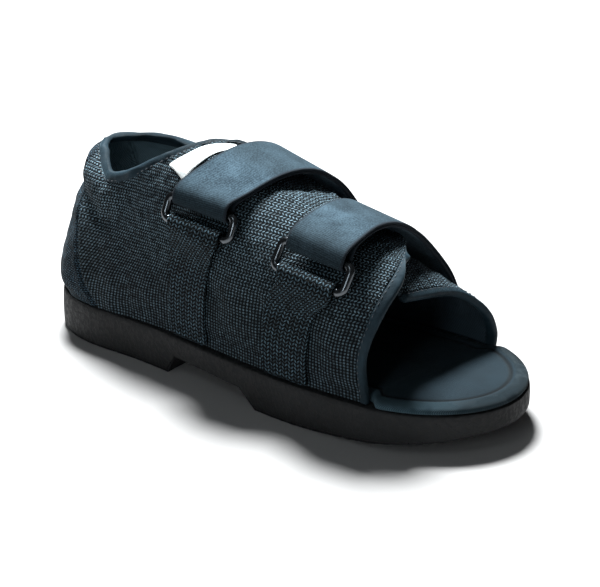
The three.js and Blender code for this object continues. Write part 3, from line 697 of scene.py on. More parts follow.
# side, x, turn about the heel, inset of the foot, then r and z at low, mid, high and edge
UPPER_ROWS = np.array([
    (-1, 236, 0, 2.6, 47.0, 48, 39.0, 71.0, 23.0, 84.0, 6.0, 89.5),
    (-1, 215, 0, 3.2, 47.5, 48, 42.0, 76.0, 21.0, 92.5, -9.0, 91.0),
    (-1, 190, 0, 3.5, 47.0, 48, 42.5, 82.0, 22.0, 98.5, -15.5, 91.0),
    (-1, 160, 0, 3.5, 45.0, 50, 41.0, 87.0, 19.0, 107.0, -20.0, 99.0),
    (-1, 135, 0, 3.5, 42.2, 52, 38.6, 92.5, 18.0, 113.0, -20.0, 106.5),
    (-1, 120, 0, 3.5, 40.3, 52, 37.2, 95.5, 18.0, 117.0, -15.0, 113.5),
    (-1, 112, 0, 3.5, 39.3, 52, 36.5, 96.0, 20.0, 118.2, -7.0, 120.5),
    (-1, 104, 0, 3.3, 38.5, 52, 36.0, 92.0, 26.0, 115.5, 6.0, 124.5),
    (-1, 93, 0, 3.0, 37.3, 52, 35.6, 86.0, 31.5, 107.0, 20.0, 121.5),
    (-1, 80, 0, 2.6, 36.5, 50, 35.0, 77.0, 32.5, 98.0, 27.5, 114.5),
    (-1, 65, 0, 2.2, 36.2, 45, 34.4, 69.0, 31.5, 88.0, 29.0, 105.5),
    (-1, 48, 0, 1.8, 36.6, 40, 34.2, 62.0, 30.0, 84.0, 26.0, 99.5),
    (-1, 48, 45, 1.6, 44.0, 35, 37.6, 62.0, 30.5, 88.0, 18.5, 104.5),
    (-1, 48, 90, 1.6, 49.6, 34, 43.2, 62.0, 35.5, 88.0, 22.5, 107.0),
    (1, 48, 45, 1.6, 44.0, 35, 37.6, 62.0, 30.5, 89.0, 20.5, 106.5),
    (1, 48, 0, 1.8, 36.6, 40, 34.2, 62.0, 30.0, 87.0, 26.5, 104.5),
    (1, 65, 0, 2.2, 36.2, 45, 34.4, 70.0, 31.0, 89.0, 26.5, 103.5),
    (1, 80, 0, 2.6, 36.6, 50, 35.0, 76.0, 32.0, 93.0, 26.0, 105.0),
    (1, 93, 0, 3.0, 37.6, 50, 35.8, 80.0, 31.5, 98.0, 22.0, 108.5),
    (1, 104, 0, 3.3, 38.6, 50, 36.4, 84.0, 29.0, 102.0, 12.0, 111.5),
    (1, 112, 0, 3.5, 39.8, 50, 37.4, 85.0, 25.0, 103.0, -2.0, 112.0),
    (1, 130, 0, 3.5, 41.8, 49, 38.8, 82.0, 23.0, 99.5, -9.0, 107.5),
    (1, 160, 0, 3.5, 46.0, 45, 41.0, 71.0, 22.0, 90.0, -11.0, 99.0),
    (1, 190, 0, 3.5, 49.0, 41, 41.0, 60.5, 21.5, 80.5, -12.0, 90.5),
    (1, 220, 0, 3.2, 50.2, 37, 42.0, 54.0, 22.5, 70.5, -13.0, 78.5),
    (1, 243, 0, 2.6, 51.2, 33.5, 44.0, 47.5, 26.5, 60.0, -12.0, 68.0),
])
LAST_ROW = len(UPPER_ROWS) - 1
# Row, then how far foot, low, mid, high and edge lie behind that row's x.
TOE_LEAN = {
    0: (6.5, 7, 1.5, 1, 12),
    1: (1.5, 1.5, 0, 0, 3),
    24: (0, 0, 0, 3, 4),
    25: (0, 0, 2, 9, 14),
}


def heel_radius(turn):
    back = np.sin(turn) / HEEL_CAP
    side = np.cos(turn) / HEEL_HALF_WIDTH
    return (back**HEEL_POWER + side**HEEL_POWER) ** (-1 / HEEL_POWER)


def upper_rails():
    side, x, turn, inset = UPPER_ROWS[:, :4].T
    turn = np.radians(turn)
    edge = np.where(turn > 0, heel_radius(turn), sole_half_width(x) + side * sole_middle(x))
    r = np.column_stack([edge - inset, UPPER_ROWS[:, 4::2]])
    z = np.column_stack([np.full(len(x), UPPER_FOOT), UPPER_ROWS[:, 5::2]])
    lean = np.array([TOE_LEAN.get(row, (0,) * 5) for row in range(len(x))])
    along = x[:, None] - r * np.sin(turn)[:, None] - lean
    return np.stack([along, side[:, None] * r * np.cos(turn)[:, None], z], axis=-1)


RAILS = upper_rails()
RIB_PLACES = np.linspace(0, 4, 81)
RIB_WEIGHTS = smooth_line(np.eye(5), RIB_PLACES)
print("rails:", RAILS.shape)

# %% [markdown]
# ## Points on the upper
# A share of 0 is the foot and 1 is the edge. Shares are measured along the rib's real length, so cloth that
# is laid out by shares isn't stretched. A height lifts the point off the wall along its normal.
# The fabric's soft shape is added the same way: a crease below the padded roll of the collar, and puffs
# in the side wall between the tabs that hold it down.

# %% Surface functions
HEEL_FOLD_ROWS = (9.8, 11.4, 14, 15.4)
# Distance from the edge, half width and height of each fold.
HEEL_FOLDS = [(27, 6, -2.4), (12, 7, 2.6)]
# x of the middle, half length and height of each puff.
PUFFS = [(78, 21, 1.4), (145, 20, 1.8), (211, 16, 1.6)]
PUFF_TOP = 0.42
# Step of rows and shares over which a direction is read.
SMALL_STEP = 0.02


def bare_upper(rows, shares):
    """Points of the wall without its soft shape, and the length of each rib."""
    ribs = smooth_line(RAILS, np.clip(rows, 0, LAST_ROW))
    lines = RIB_WEIGHTS @ ribs
    along = lengths(lines, 1)
    total = along[:, -1]
    wanted = np.clip(shares, 0, 1) * total
    index = np.clip((along < wanted[:, None]).sum(axis=1) - 1, 0, len(RIB_PLACES) - 2)
    pick = np.arange(len(index))
    part = (wanted - along[pick, index]) / (along[pick, index + 1] - along[pick, index])
    weights = smooth_line(np.eye(5), (index + part) * RIB_PLACES[1])
    return np.einsum("kj,kjd->kd", weights, ribs), total


def softness(rows, shares, points, total):
    start, full, ease, end = HEEL_FOLD_ROWS
    heel = smoothstep(rows, start, full) * (1 - smoothstep(rows, ease, end))
    from_edge = (1 - shares) * total
    height = sum(heel * h * np.exp(-(((from_edge - d) / w) ** 2)) for d, w, h in HEEL_FOLDS)
    rise = np.where(rows < start, np.sin(math.pi * np.clip(shares / PUFF_TOP, 0, 1)) ** 2, 0)
    for x, half, most in PUFFS:
        across = np.clip(np.abs(points[:, 0] - x) / half, 0, 1)
        height = height + most * rise * np.cos(across * math.pi / 2) ** 2
    return height


def upper(rows, shares, lift=0.0):
    """Points of the upper at row places and rib shares, lifted off the wall."""
    rows, shares, lift = np.broadcast_arrays(*(np.asarray(v, float) for v in (rows, shares, lift)))
    shape = rows.shape
    rows, shares, lift = rows.ravel(), np.clip(shares.ravel(), 0, 1), lift.ravel()
    points, total = bare_upper(rows, shares)
    along = bare_upper(rows + SMALL_STEP, shares)[0] - bare_upper(rows - SMALL_STEP, shares)[0]
    up = bare_upper(rows, shares + SMALL_STEP)[0] - bare_upper(rows, shares - SMALL_STEP)[0]
    outward = unit(np.cross(up, along))
    points = points + outward * (lift + softness(rows, shares, points, total))[:, None]
    points[:, 2] = np.maximum(points[:, 2], UPPER_FOOT)
    return points.reshape(*shape, 3)


def rib_length(rows):
    rows = np.asarray(rows, float)
    return bare_upper(rows.ravel(), np.zeros(rows.size))[1].reshape(rows.shape)


def share_from_edge(rows, distance):
    return 1 - distance / rib_length(rows)


print("ribs at both fronts:", rib_length([0, LAST_ROW]).round(1).tolist(), "mm long")

# %% [markdown]
# ## Settling the cloth
# Padded fabric that is sewn down at its borders swells softly between its seams. Sculpting that by hand looks
# stiff, so Blender's cloth does it: the borders are pinned, the cloth is cut a little too large, and a light
# pressure from inside fills it for twenty frames. The movement is capped, so that the cloth stays where the
# solid is, and the settled shape is written back to the mesh with no modifier left.

# %% Cloth helper
SETTLE_FRAMES = 20


def settle(piece, held, cap, pressure):
    """Lets a piece swell where held is below 1, by at most cap millimetres."""
    rest = np.array([vert.co for vert in piece.data.vertices])
    pins = piece.vertex_groups.new(name="sewn")
    for index, weight in enumerate(held):
        pins.add([index], float(weight), "REPLACE")
    cloth = piece.modifiers.new("settle", "CLOTH")
    cloth.settings.vertex_group_mass = "sewn"
    cloth.settings.quality = 6
    cloth.settings.mass = 0.2
    cloth.settings.air_damping = 4
    cloth.settings.bending_stiffness = 0.6
    cloth.settings.shrink_min = -0.025
    cloth.settings.use_pressure = True
    cloth.settings.uniform_pressure_force = pressure
    cloth.settings.effector_weights.gravity = 0
    cloth.collision_settings.use_collision = False
    for frame_number in range(1, SETTLE_FRAMES + 1):
        scene.frame_set(frame_number)
    settled = piece.evaluated_get(bpy.context.evaluated_depsgraph_get()).data
    moved = np.array([vert.co for vert in settled.vertices]) - rest
    size = np.linalg.norm(moved, axis=1, keepdims=True)
    limit = cap * MM * np.tanh(size / (cap * MM))
    moved *= limit / np.maximum(size, 1e-9)
    piece.modifiers.remove(cloth)
    piece.vertex_groups.clear()
    scene.frame_set(1)
    for vert, place in zip(piece.data.vertices, rest + moved):
        vert.co = place
    print(piece.name, "settled by up to", round(float(limit.max()) / MM, 2), "mm")
    return piece


# %% [markdown]
# ## Flaps and heel panel
# Each of the three walls is an open sheet between two borders that lean differently at the foot and the edge.
# Where walls are sewn together the cloth dips into the seam and stands up in a ridge beside it. The flaps lie
# on top, and the heel panel runs on a little under them.
# The sheet is laid out first and settled as cloth, and only then given its thickness with Solidify, which
# puts the lining on the inner side. The tabs hold the lateral flap down, so the cloth is pinned there.

# %% Sheets of the upper
LATERAL_FRONT, MEDIAL_FRONT = 0.29, LAST_ROW - 0.25
LATERAL_SEAM, MEDIAL_SEAM = (11.2, 12.3), (14.8, 13.7)
TOE_ROW_GAP = 0.01
LATERAL_COLLAR_ROW, MEDIAL_COLLAR_ROW, COLLAR_END = 5.4, 19.9, 0.12
BINDING_WIDTH, INTO_BINDING = 6, 1.5
WALL_LEVELS, LOWEST_SHARE = 46, 0.004
# Length of cloth between two rows at the heel seams.
MM_PER_ROW = 24
# Distance of the ridge beside a seam, depth of the dip at it and reach of the dip.
FLAP_SEAM, PANEL_SEAM = (2.4, 0.7, 1.1), (3.8, 1.6, 2.0)
SEAM_RIDGE, RIDGE_WIDTH, PANEL_LAP = 0.85, 1.3, 0.05
# Steps of the grid from a border, between which the cloth comes free.
FREE_FROM, FREE_AT = 1, 6


def wall_top(rows):
    """Share of the rib where the wall ends: under the collar binding, or at the edge."""
    inside = np.minimum(rows - LATERAL_COLLAR_ROW, MEDIAL_COLLAR_ROW - rows) + COLLAR_END
    covered = smoothstep(inside, -COLLAR_END, 0.6 * COLLAR_END)
    return mix(1.0, share_from_edge(rows, BINDING_WIDTH - INTO_BINDING), covered)


def wall_sheet(first, last, stations, sewn, seam):
    """Places of a wall between two borders, each given as its row at the foot and at the edge.

    Sewn lists the ends, 0 or 1, that have a seam. The second result is 1 where the cloth is held.
    """
    share = np.linspace(LOWEST_SHARE, 1, WALL_LEVELS)
    u, t = np.meshgrid(np.linspace(0, 1, stations), share, indexing="ij")
    rows = mix(mix(*first, t), mix(*last, t), u)
    ridge, dip, reach = seam
    lift = np.zeros_like(u)
    for end in sewn:
        away = np.abs(u - end) * np.abs(np.subtract(last, first)).max() * MM_PER_ROW
        lift += SEAM_RIDGE * np.exp(-(((away - ridge) / RIDGE_WIDTH) ** 2))
        lift -= dip * np.exp(-((away / reach) ** 2))
    places = upper(rows, wall_top(rows) * t, lift)
    border = np.minimum(np.minimum(u, 1 - u) * stations, np.minimum(t, 1 - t) * WALL_LEVELS)
    return places, 1 - smoothstep(border, FREE_FROM, FREE_AT)


# %% Walls of the upper
CLOTH_THICK = 2.5
# x, half width and top of the places where a tab holds the wall, and how softly it ends.
TAB_PINS = [(113, 19, 92), (184, 20, 88)]
PIN_EASE, PIN_TOP_EASE = 6, 4


def tab_pins(places):
    """1 where a tab holds the wall down."""
    held = np.zeros(places.shape[:2])
    for x, half, top in TAB_PINS:
        near = 1 - smoothstep(np.abs(places[..., 0] - x), half - PIN_EASE, half)
        near *= 1 - smoothstep(places[..., 2], top - PIN_TOP_EASE, top + PIN_TOP_EASE)
        held = np.maximum(held, near)
    return held


def wall_piece(node, places, held, material, cap, pressure):
    piece = finished(f"{node}_net", grid_mesh(places, flip=True), node, "mesh_fabric", material, lining)
    settle(piece, held.ravel(), cap, pressure)
    thick = thickened(piece, CLOTH_THICK)
    thick.material_offset = thick.material_offset_rim = 1
    thick.edge_crease_inner = thick.edge_crease_outer = thick.edge_crease_rim = 1.0
    return rounded(piece)


lateral_front = (LATERAL_FRONT + TOE_ROW_GAP,) * 2
medial_front = (MEDIAL_FRONT - TOE_ROW_GAP,) * 2
panel_start, panel_end = np.subtract(LATERAL_SEAM, PANEL_LAP), np.add(MEDIAL_SEAM, PANEL_LAP)

places, held = wall_sheet(lateral_front, LATERAL_SEAM, stations=150, sewn=[1], seam=FLAP_SEAM)
held = np.maximum(held, tab_pins(places))
lateral_flap = wall_piece("lateral_flap", places, held, net_cloth, cap=1.2, pressure=3.0)
places, held = wall_sheet(MEDIAL_SEAM, medial_front, stations=130, sewn=[0], seam=FLAP_SEAM)
medial_flap = wall_piece("medial_flap", places, held, net_cloth, cap=1.0, pressure=2.0)
places, held = wall_sheet(panel_start, panel_end, stations=80, sewn=[0, 1], seam=PANEL_SEAM)
wall_piece("heel_panel", places, held, heel_cloth, cap=1.0, pressure=2.0)

# %% [markdown]
# ## Stitches
# A row of stitches is one short thread bead repeated along a path. Each bead is a sphere of two dozen faces,
# stretched along the path and sunk halfway into the cloth. They go into the mesh of the piece that they hold.

# %% Stitch helper
STITCH_PITCH, STITCH_LENGTH, THREAD_THICK = 3.4, 2.3, 0.55
# Points of the path on each side over which a stitch takes its direction.
STITCH_AIM = 0.2


def add_stitches(bm, path):
    """Thread beads along a path in millimetres from the heel; material 1 is the thread."""
    along = lengths(path, 0)
    count = int(along[-1] / STITCH_PITCH)
    at = (np.arange(count) + 0.5) * along[-1] / count
    index = np.interp(at, along, np.arange(len(path)))
    places = to_part(smooth_line(path, index))
    ahead_of = np.minimum(index + STITCH_AIM, len(path) - 1)
    heading = smooth_line(path, ahead_of) - smooth_line(path, index - STITCH_AIM)
    radii = np.array([STITCH_LENGTH, THREAD_THICK, THREAD_THICK]) / 2 * MM
    for place, ahead in zip(places, heading):
        turn = Vector(ahead).to_track_quat("X", "Z").to_matrix().to_4x4()
        made = bmesh.ops.create_uvsphere(
            bm, u_segments=6, v_segments=4, radius=1,
            matrix=Matrix.Translation(place) @ turn @ Matrix.Diagonal((*radii, 1)),
        )
        for vert in made["verts"]:
            for face in vert.link_faces:
                face.material_index = 1
                face.smooth = True


# %% [markdown]
# ## Bindings
# A binding is a tape folded over a raw edge: proud of the wall on both faces and round over the top.
# Its section is given by the distance from the edge and the height over the wall's outer face, and it
# follows the edge. The tape is a little too long for the curve, so it puckers between the stitches, and the
# soft collar is rumpled as well. Both are seeded random steps that are smoothed, finely or broadly.

# %% Tapes round the edges
# Distance from the edge, and height over the wall's outer face.
COLLAR_SECTION = np.array([
    (6.0, 0.15), (5.6, 0.5), (4.8, 0.65), (3.0, 0.95), (1.5, 0.75), (0.5, 0.1), (0.0, -0.8),
    (0.0, -2.0), (0.5, -2.9), (1.5, -3.5), (3.0, -3.75), (4.8, -3.45), (5.6, -3.3), (6.0, -2.95),
])
# Share of the binding's width from its front edge, and height over the wall's outer face.
TOE_SECTION = np.array([
    (1.0, 0.12), (0.94, 0.45), (0.84, 0.6), (0.5, 0.75), (0.2, 0.6), (0.06, 0.1), (0.0, -0.8),
    (0.0, -2.0), (0.06, -2.9), (0.2, -3.4), (0.5, -3.5), (0.84, -3.4), (0.94, -3.25), (1.0, -2.92),
])
# Kernels of the fine and the broad waves, and how strong each is.
PUCKER, RUMPLE = np.array([0.25, 0.5, 0.25]), np.hanning(11) / 5
COLLAR_PUCKER, COLLAR_RUMPLE, TOE_PUCKER = 0.2, 1.5, 0.1


def waves(stations, amount, seed, kernel):
    """Waves along a sewn tape, the same in every run; a longer kernel makes broader ones."""
    steps = np.random.default_rng(seed).normal(0, 1, stations)
    return amount * np.convolve(steps, kernel, mode="same")[:, None]


def collar_places(stations):
    rows = np.linspace(LATERAL_COLLAR_ROW, MEDIAL_COLLAR_ROW, stations)[:, None]
    distance, lift = COLLAR_SECTION.T
    puckered = waves(stations, COLLAR_PUCKER, seed=4, kernel=PUCKER)
    proud = puckered + waves(stations, COLLAR_RUMPLE, seed=5, kernel=RUMPLE)
    drop = waves(stations, COLLAR_RUMPLE, seed=9, kernel=RUMPLE) * (1 - distance / BINDING_WIDTH)
    shares = share_from_edge(np.broadcast_to(rows, drop.shape), distance + np.maximum(drop, 0))
    return upper(rows, shares, lift + proud * (lift > 0))


def toe_places(front, seam, stations):
    across, lift = TOE_SECTION.T
    proud = waves(stations, TOE_PUCKER, seed=7, kernel=PUCKER)
    share = np.linspace(0, 1, stations)[:, None]
    return upper(mix(front, seam, across), share, lift + proud * (lift > 0))


# %% Collar and toe bindings
# Distance of the collar's stitches from the edge, and of their ends from the collar's ends in rows.
COLLAR_STITCH, STITCH_START = 4.9, 0.15
# Share of a toe binding's width at its stitches, and the shares of the rib that they run between.
TOE_STITCH, TOE_STITCHED = 0.8, (0.03, 0.97)
COLLAR_STITCH_LIFT, TOE_STITCH_LIFT = 0.75, 0.7
# Points of each path.
COLLAR_POINTS, TOE_POINTS = 160, 70


def collar_stitch_path():
    ends = LATERAL_COLLAR_ROW + STITCH_START, MEDIAL_COLLAR_ROW - STITCH_START
    rows = np.linspace(*ends, COLLAR_POINTS)
    return upper(rows, share_from_edge(rows, COLLAR_STITCH), COLLAR_STITCH_LIFT)


def toe_stitch_path(front, seam):
    shares = np.linspace(*TOE_STITCHED, TOE_POINTS)
    return upper(mix(front, seam, TOE_STITCH), shares, TOE_STITCH_LIFT)


def binding_piece(name, places, stitches):
    bm = tube_mesh(places)
    add_stitches(bm, stitches)
    tape = finished(f"{name}_tape", bm, f"{name}_binding", "binding_fabric", satin_binding, thread)
    rounded(tape)


binding_piece("collar", collar_places(stations=190), collar_stitch_path())
for name, front, seam in (("lateral_toe", 0, LATERAL_FRONT), ("medial_toe", LAST_ROW, MEDIAL_FRONT)):
    binding_piece(name, toe_places(front, seam, stations=70), toe_stitch_path(front, seam))

# %% [markdown]
# ## Rings
# Each ring is a bent wire: four straight bars and four round corners. The wire's circle is created once, then
# extruded along a bar and spun round a corner, four times, until it meets itself.
# It is made lying flat and then turned to where it hangs on the shoe.

# %% Rings
RINGS = {
    "instep": {"lower": (122, -45.0, 90.2), "upper": (122.9, -40.6, 101.6), "drop": 0.08},
    "forefoot": {"lower": (195, -48.4, 82), "upper": (196.4, -41.8, 94.6), "drop": 0.11},
}
# The coat is what the plating adds to the bare wire's radius.
RING_WIRE, RING_LENGTH, RING_BEND, RING_COAT = 2, 46.5, 3.6, 0.35
# Sides of the wire, steps round a corner, and the distance in millimetres within which points are merged.
WIRE_SIDES, BEND_STEPS, RING_WELD = 16, 8, 1e-3
# Signs of x and y at the corner that ends each bar.
RING_CORNERS = [(-1, 1), (-1, -1), (1, -1), (1, 1)]


def ring_axes(ring):
    """Directions along the bars, up across the ring and out from the foot."""
    lower, upper_bar = np.array(ring["lower"], float), np.array(ring["upper"], float)
    up = unit(upper_bar - lower)
    along = np.array([1, 0, -ring["drop"]])
    along = unit(along - up * along.dot(up))
    return lower, upper_bar, along, up, np.cross(along, up)


def ring_mesh(ring):
    lower, upper_bar, along, up, out = ring_axes(ring)
    long_bar = RING_LENGTH - 2 * RING_WIRE - 2 * RING_BEND
    short_bar = np.linalg.norm(upper_bar - lower) - 2 * RING_BEND
    bm = bmesh.new()
    bmesh.ops.create_circle(bm, segments=WIRE_SIDES, radius=RING_WIRE + RING_COAT)
    stand = Matrix.Rotation(math.pi / 2, 4, "Y")
    lift = Matrix.Translation((long_bar / 2, short_bar / 2 + RING_BEND, 0))
    bmesh.ops.transform(bm, matrix=lift @ stand, verts=bm.verts)
    end = list(bm.edges)
    for side, (sign_x, sign_y) in enumerate(RING_CORNERS):
        turn = Matrix.Rotation(side * math.pi / 2, 3, "Z")
        straight = long_bar if side % 2 == 0 else short_bar
        made = bmesh.ops.extrude_edge_only(bm, edges=end)["geom"]
        verts = [v for v in made if isinstance(v, bmesh.types.BMVert)]
        bmesh.ops.translate(bm, verts=verts, vec=turn @ Vector((-straight, 0, 0)))
        centre = Vector((sign_x * long_bar / 2, sign_y * short_bar / 2, 0))
        edges = [e for e in made if isinstance(e, bmesh.types.BMEdge)]
        spun = bmesh.ops.spin(
            bm, geom=edges, cent=centre, axis=(0, 0, 1), angle=math.pi / 2, steps=BEND_STEPS,
            use_merge=False,
        )["geom_last"]
        end = [e for e in spun if isinstance(e, bmesh.types.BMEdge)]
    bmesh.ops.remove_doubles(bm, verts=bm.verts, dist=RING_WELD)
    bmesh.ops.recalc_face_normals(bm, faces=bm.faces)
    middle = to_part((lower + upper_bar) / 2)
    axes = Matrix(np.column_stack([along, up, out]).tolist()).to_4x4()
    bmesh.ops.transform(bm, matrix=Matrix.Translation(middle) @ axes @ Matrix.Scale(MM, 4), verts=bm.verts)
    for face in bm.faces:
        face.smooth = True
    return bm


for name, ring in RINGS.items():
    finished(f"{name}_wire", ring_mesh(ring), f"{name}_ring", "black_wire", black_wire)

# %% [markdown]
# ## Straps
# A strap starts at the sole on the inner side, crosses the foot, goes down through the ring and turns back
# over itself. A simulation would blur its crisp edges, so flat webbing is modelled directly. First comes the
# path down its middle, with a direction across it at each point.

# %% Sizes of the straps
STRAP_WIDTH, STRAP_THICK, STRAP_LAYER_GAP = 35, 1.5, 0.35
LOOP_GAP, LOOP_LEAD = 0.5, 6
# First row that the free end covers, steps of a path to a row, and points over which a bend is rounded.
STRAP_END, ROW_STEPS, BEND_REACH = 1, 8, 6
# x, y, z, then how much higher the rear edge lies and how much further in the front edge lies.
STRAPS = {
    "instep": np.array([
        (147, 47.2, 24.2, 0, 5),
        (147, 47.6, 44, 0, 5),
        (145.5, 44.8, 72, 1, 4),
        (143, 35.4, 93.8, 5, 1),
        (139.5, 23.0, 109.2, 9, 0),
        (137.5, 5, 117.2, 8, 0),
        (134, -14, 117.8, 7, 0),
        (127.5, -29.5, 111.4, 6, 0),
    ]),
    "forefoot": np.array([
        (201, 53.0, 24.2, 0, 2),
        (201, 52.2, 40, 0, 2),
        (200.5, 46.4, 56, 0, 0),
        (199.5, 38.2, 68.6, 1, -1),
        (198.5, 28.0, 80.6, 3, 0),
        (198, 16, 93.4, 6, 0),
        (197.5, 0, 102.6, 5, 0),
        (197.5, -17, 105.0, 3, 0),
        (197.5, -32, 103.0, 4, 0),
    ]),
}

# %% Paths of the straps
def half_turn(bar, ring, radius, over, steps=12):
    """Points round a bar from its outer to its inner side, over the top or under it."""
    _, _, _, up, out = ring_axes(ring)
    angle = np.linspace(0, math.pi, steps + 1)[:, None]
    return bar + radius * (np.cos(angle) * out + (1 if over else -1) * np.sin(angle) * up)


def relaxed(path, reach):
    """A path with its bends rounded over a number of points, and its two ends kept."""
    weights = np.hanning(2 * reach + 3)[1:-1]
    before = 2 * path[0] - path[reach:0:-1]
    after = 2 * path[-1] - path[-2:-reach - 2:-1]
    line = np.concatenate([before, path, after])
    return np.stack([np.convolve(line[:, k], weights / weights.sum(), "valid") for k in range(3)], axis=1)


def strap_path(rows, ring):
    """Middle line of a strap and the direction across it, from the sole to the free end.

    Places count the rows, then the lead into the ring and the bar.
    """
    _, bar, along, up, _ = ring_axes(ring)
    loop = half_turn(bar, ring, RING_WIRE + LOOP_GAP + STRAP_THICK / 2, over=False)[::-1]
    lead = up * LOOP_LEAD
    at_ring = (STRAP_WIDTH * ring["drop"], 0)
    tilt = np.concatenate([rows[:, 3:], [at_ring, at_ring]])
    line = np.concatenate([rows[:, :3], [loop[0] + lead, loop[0]]])
    last = len(line) - 1

    def across(at):
        rise, spread = (np.interp(at, np.arange(last + 1), tilt[:, k]) for k in (0, 1))
        return unit(np.stack([np.full_like(at, STRAP_WIDTH), spread, -rise], axis=-1))

    def returning(at):
        heading = smooth_line(line, at + SMALL_STEP) - smooth_line(line, at - SMALL_STEP)
        outward = unit(np.cross(heading, across(at)))
        return smooth_line(line, at) + outward * (STRAP_THICK + STRAP_LAYER_GAP)

    going = np.linspace(0, last, ROW_STEPS * last + 1)[:-1]
    covered = returning(np.arange(last - 2, STRAP_END - 1, -1.0))
    back_line = np.concatenate([[loop[-1], loop[-1] + lead], covered])
    back = np.linspace(0, last - STRAP_END, ROW_STEPS * (last - STRAP_END) + 1)[1:]
    outer = relaxed(smooth_line(back_line, back), BEND_REACH)
    path = np.concatenate([smooth_line(line, going), loop, outer])
    sideways = np.concatenate([across(going), np.tile(along, (len(loop), 1)), across(last - back)])
    return path, sideways


strap_paths = {name: strap_path(rows, RINGS[name]) for name, rows in STRAPS.items()}
for name, (path, _) in strap_paths.items():
    print(name, "strap is", round(float(lengths(path, 0)[-1])), "mm long")

# %% [markdown]
# ## Flat bands
# Webbing has the same section all along: a thin strip with rounded selvages. That section is swept along the
# path, square to it, and a changing width makes the tabs below from it as well. One mark on the mesh is the
# bare selvage. Another is painted shade: it darkens the strap beside the fold round the bar, and where the
# strap is drawn over the foot.

# %% Straps
# Inset and share of half the thickness round a band's edge, where its flat face starts, and its selvage.
BAND_EDGE, FLAT_FROM, SELVAGE = [(0, 0), (0.15, 0.6), (0.6, 1)], 1.6, 1.0
# Points across the flat face.
FACE_POINTS = 9
# Length over which painted shade darkens the strap beside the fold round the bar.
SHADE_BY_BAR_REACH = {"instep": 14, "forefoot": 27}
# Distances from the bar between which painted shade darkens the strap over the foot and fades again, and how
# dark.
SHADE_OVER_FOOT_FROM, SHADE_OVER_FOOT_TO, SHADE_OVER_FOOT_AMOUNT = (34, 46), (70, 95), 0.62


def band_section(width, thick):
    """Across and through positions round a flat band with rounded selvages, and which are selvage."""
    half, face = width / 2, thick / 2
    top = [(-half + inset, share * face) for inset, share in BAND_EDGE]
    top += [(w, face) for w in np.linspace(-half + FLAT_FROM, half - FLAT_FROM, FACE_POINTS)]
    top += [(half - inset, share * face) for inset, share in BAND_EDGE[:0:-1]]
    under = [(-w, -t) for w, t in top]
    section = np.array(top + under)
    selvage = (np.abs(section[:, 0]) > half - SELVAGE).astype(float)
    return section, selvage


def band_mesh(path, sideways, widths, thick, painted_strap_shade=0.0):
    """A flat band along a path, in millimetres from the heel."""
    heading = np.gradient(path, axis=0)
    through = unit(np.cross(heading, sideways))
    section, selvage = band_section(np.max(widths), thick)
    scale = (np.asarray(widths) / np.max(widths))[:, None, None]
    across = section[:, 0][None, :, None] * scale
    places = path[:, None] + sideways[:, None] * across + through[:, None] * section[:, 1][None, :, None]
    return tube_mesh(places, {"selvage": selvage, "painted_strap_shade": np.reshape(painted_strap_shade, (-1, 1))})


for name, (path, sideways) in strap_paths.items():
    run = lengths(path, 0)
    lowest = np.linalg.norm(path - RINGS[name]["upper"], axis=1).argmin()
    past = run - run[lowest]
    shade_by_bar = np.exp(-((past / SHADE_BY_BAR_REACH[name]) ** 2))
    shade_over_foot = smoothstep(past, *SHADE_OVER_FOOT_FROM) * (1 - smoothstep(past, *SHADE_OVER_FOOT_TO))
    painted_strap_shade = np.maximum(shade_by_bar, SHADE_OVER_FOOT_AMOUNT * shade_over_foot)
    bm = band_mesh(path, sideways, np.full(len(path), STRAP_WIDTH), STRAP_THICK, painted_strap_shade)
    strap = rounded(finished(f"{name}_webbing", bm, f"{name}_strap", "strap_fabric", brushed_strap))

# %% [markdown]
# ## Tabs
# A tab holds each ring to the outer side. It comes up from the sole flat against the flap, goes round the
# ring's lower bar and ends behind itself. It is the same kind of band in coarser webbing, wider at the ring.

# %% Tabs
TAB_THICK, TAB_STAND_OFF, TAB_TUCK = 1.8, 1.0, 2.6
# x and width at the foot, x and width at the ring, then the heights of its points on the flap.
TABS = {
    "instep": (111.5, 26, 120.5, 33, (24, 40, 56, 70)),
    "forefoot": (180, 29, 192.5, 34, (24, 38, 52, 64)),
}
# Shares of a rib that a tab can lie on, and half the distance over which the wall's slant is read.
TAB_SHARES, SLANT_REACH = (0, 0.7), 8
# Rows that a tab or the label can lie on, and how many rows and shares are tried.
LATERAL_ROWS, ROW_TRIES, SHARE_TRIES = (1, 10), 400, 300
# Shares of the tab's front between which it turns from the wall to the ring, and how late it swings there.
TURNS, TAB_SWING = (0.7, 0.95), 3
# Points of the end behind the tab, as shares of the lead.
TAB_END = (0.8, 1.6)


def lateral_row(x):
    """Row of the upper whose section stands at x on the lateral side."""
    rows = np.linspace(*LATERAL_ROWS, ROW_TRIES)
    return np.interp(-np.asarray(x, float), -smooth_line(RAILS[:, 0], rows)[:, 0], rows)


def over_lateral(x, axis, value, lift, shares):
    """Point over the lateral flap at x where one coordinate has a wanted value."""
    row = float(lateral_row(x))
    tries = np.linspace(*shares, SHARE_TRIES)
    found = np.interp(value, bare_upper(np.full(SHARE_TRIES, row), tries)[0][:, axis], tries)
    return upper(row, found, lift)


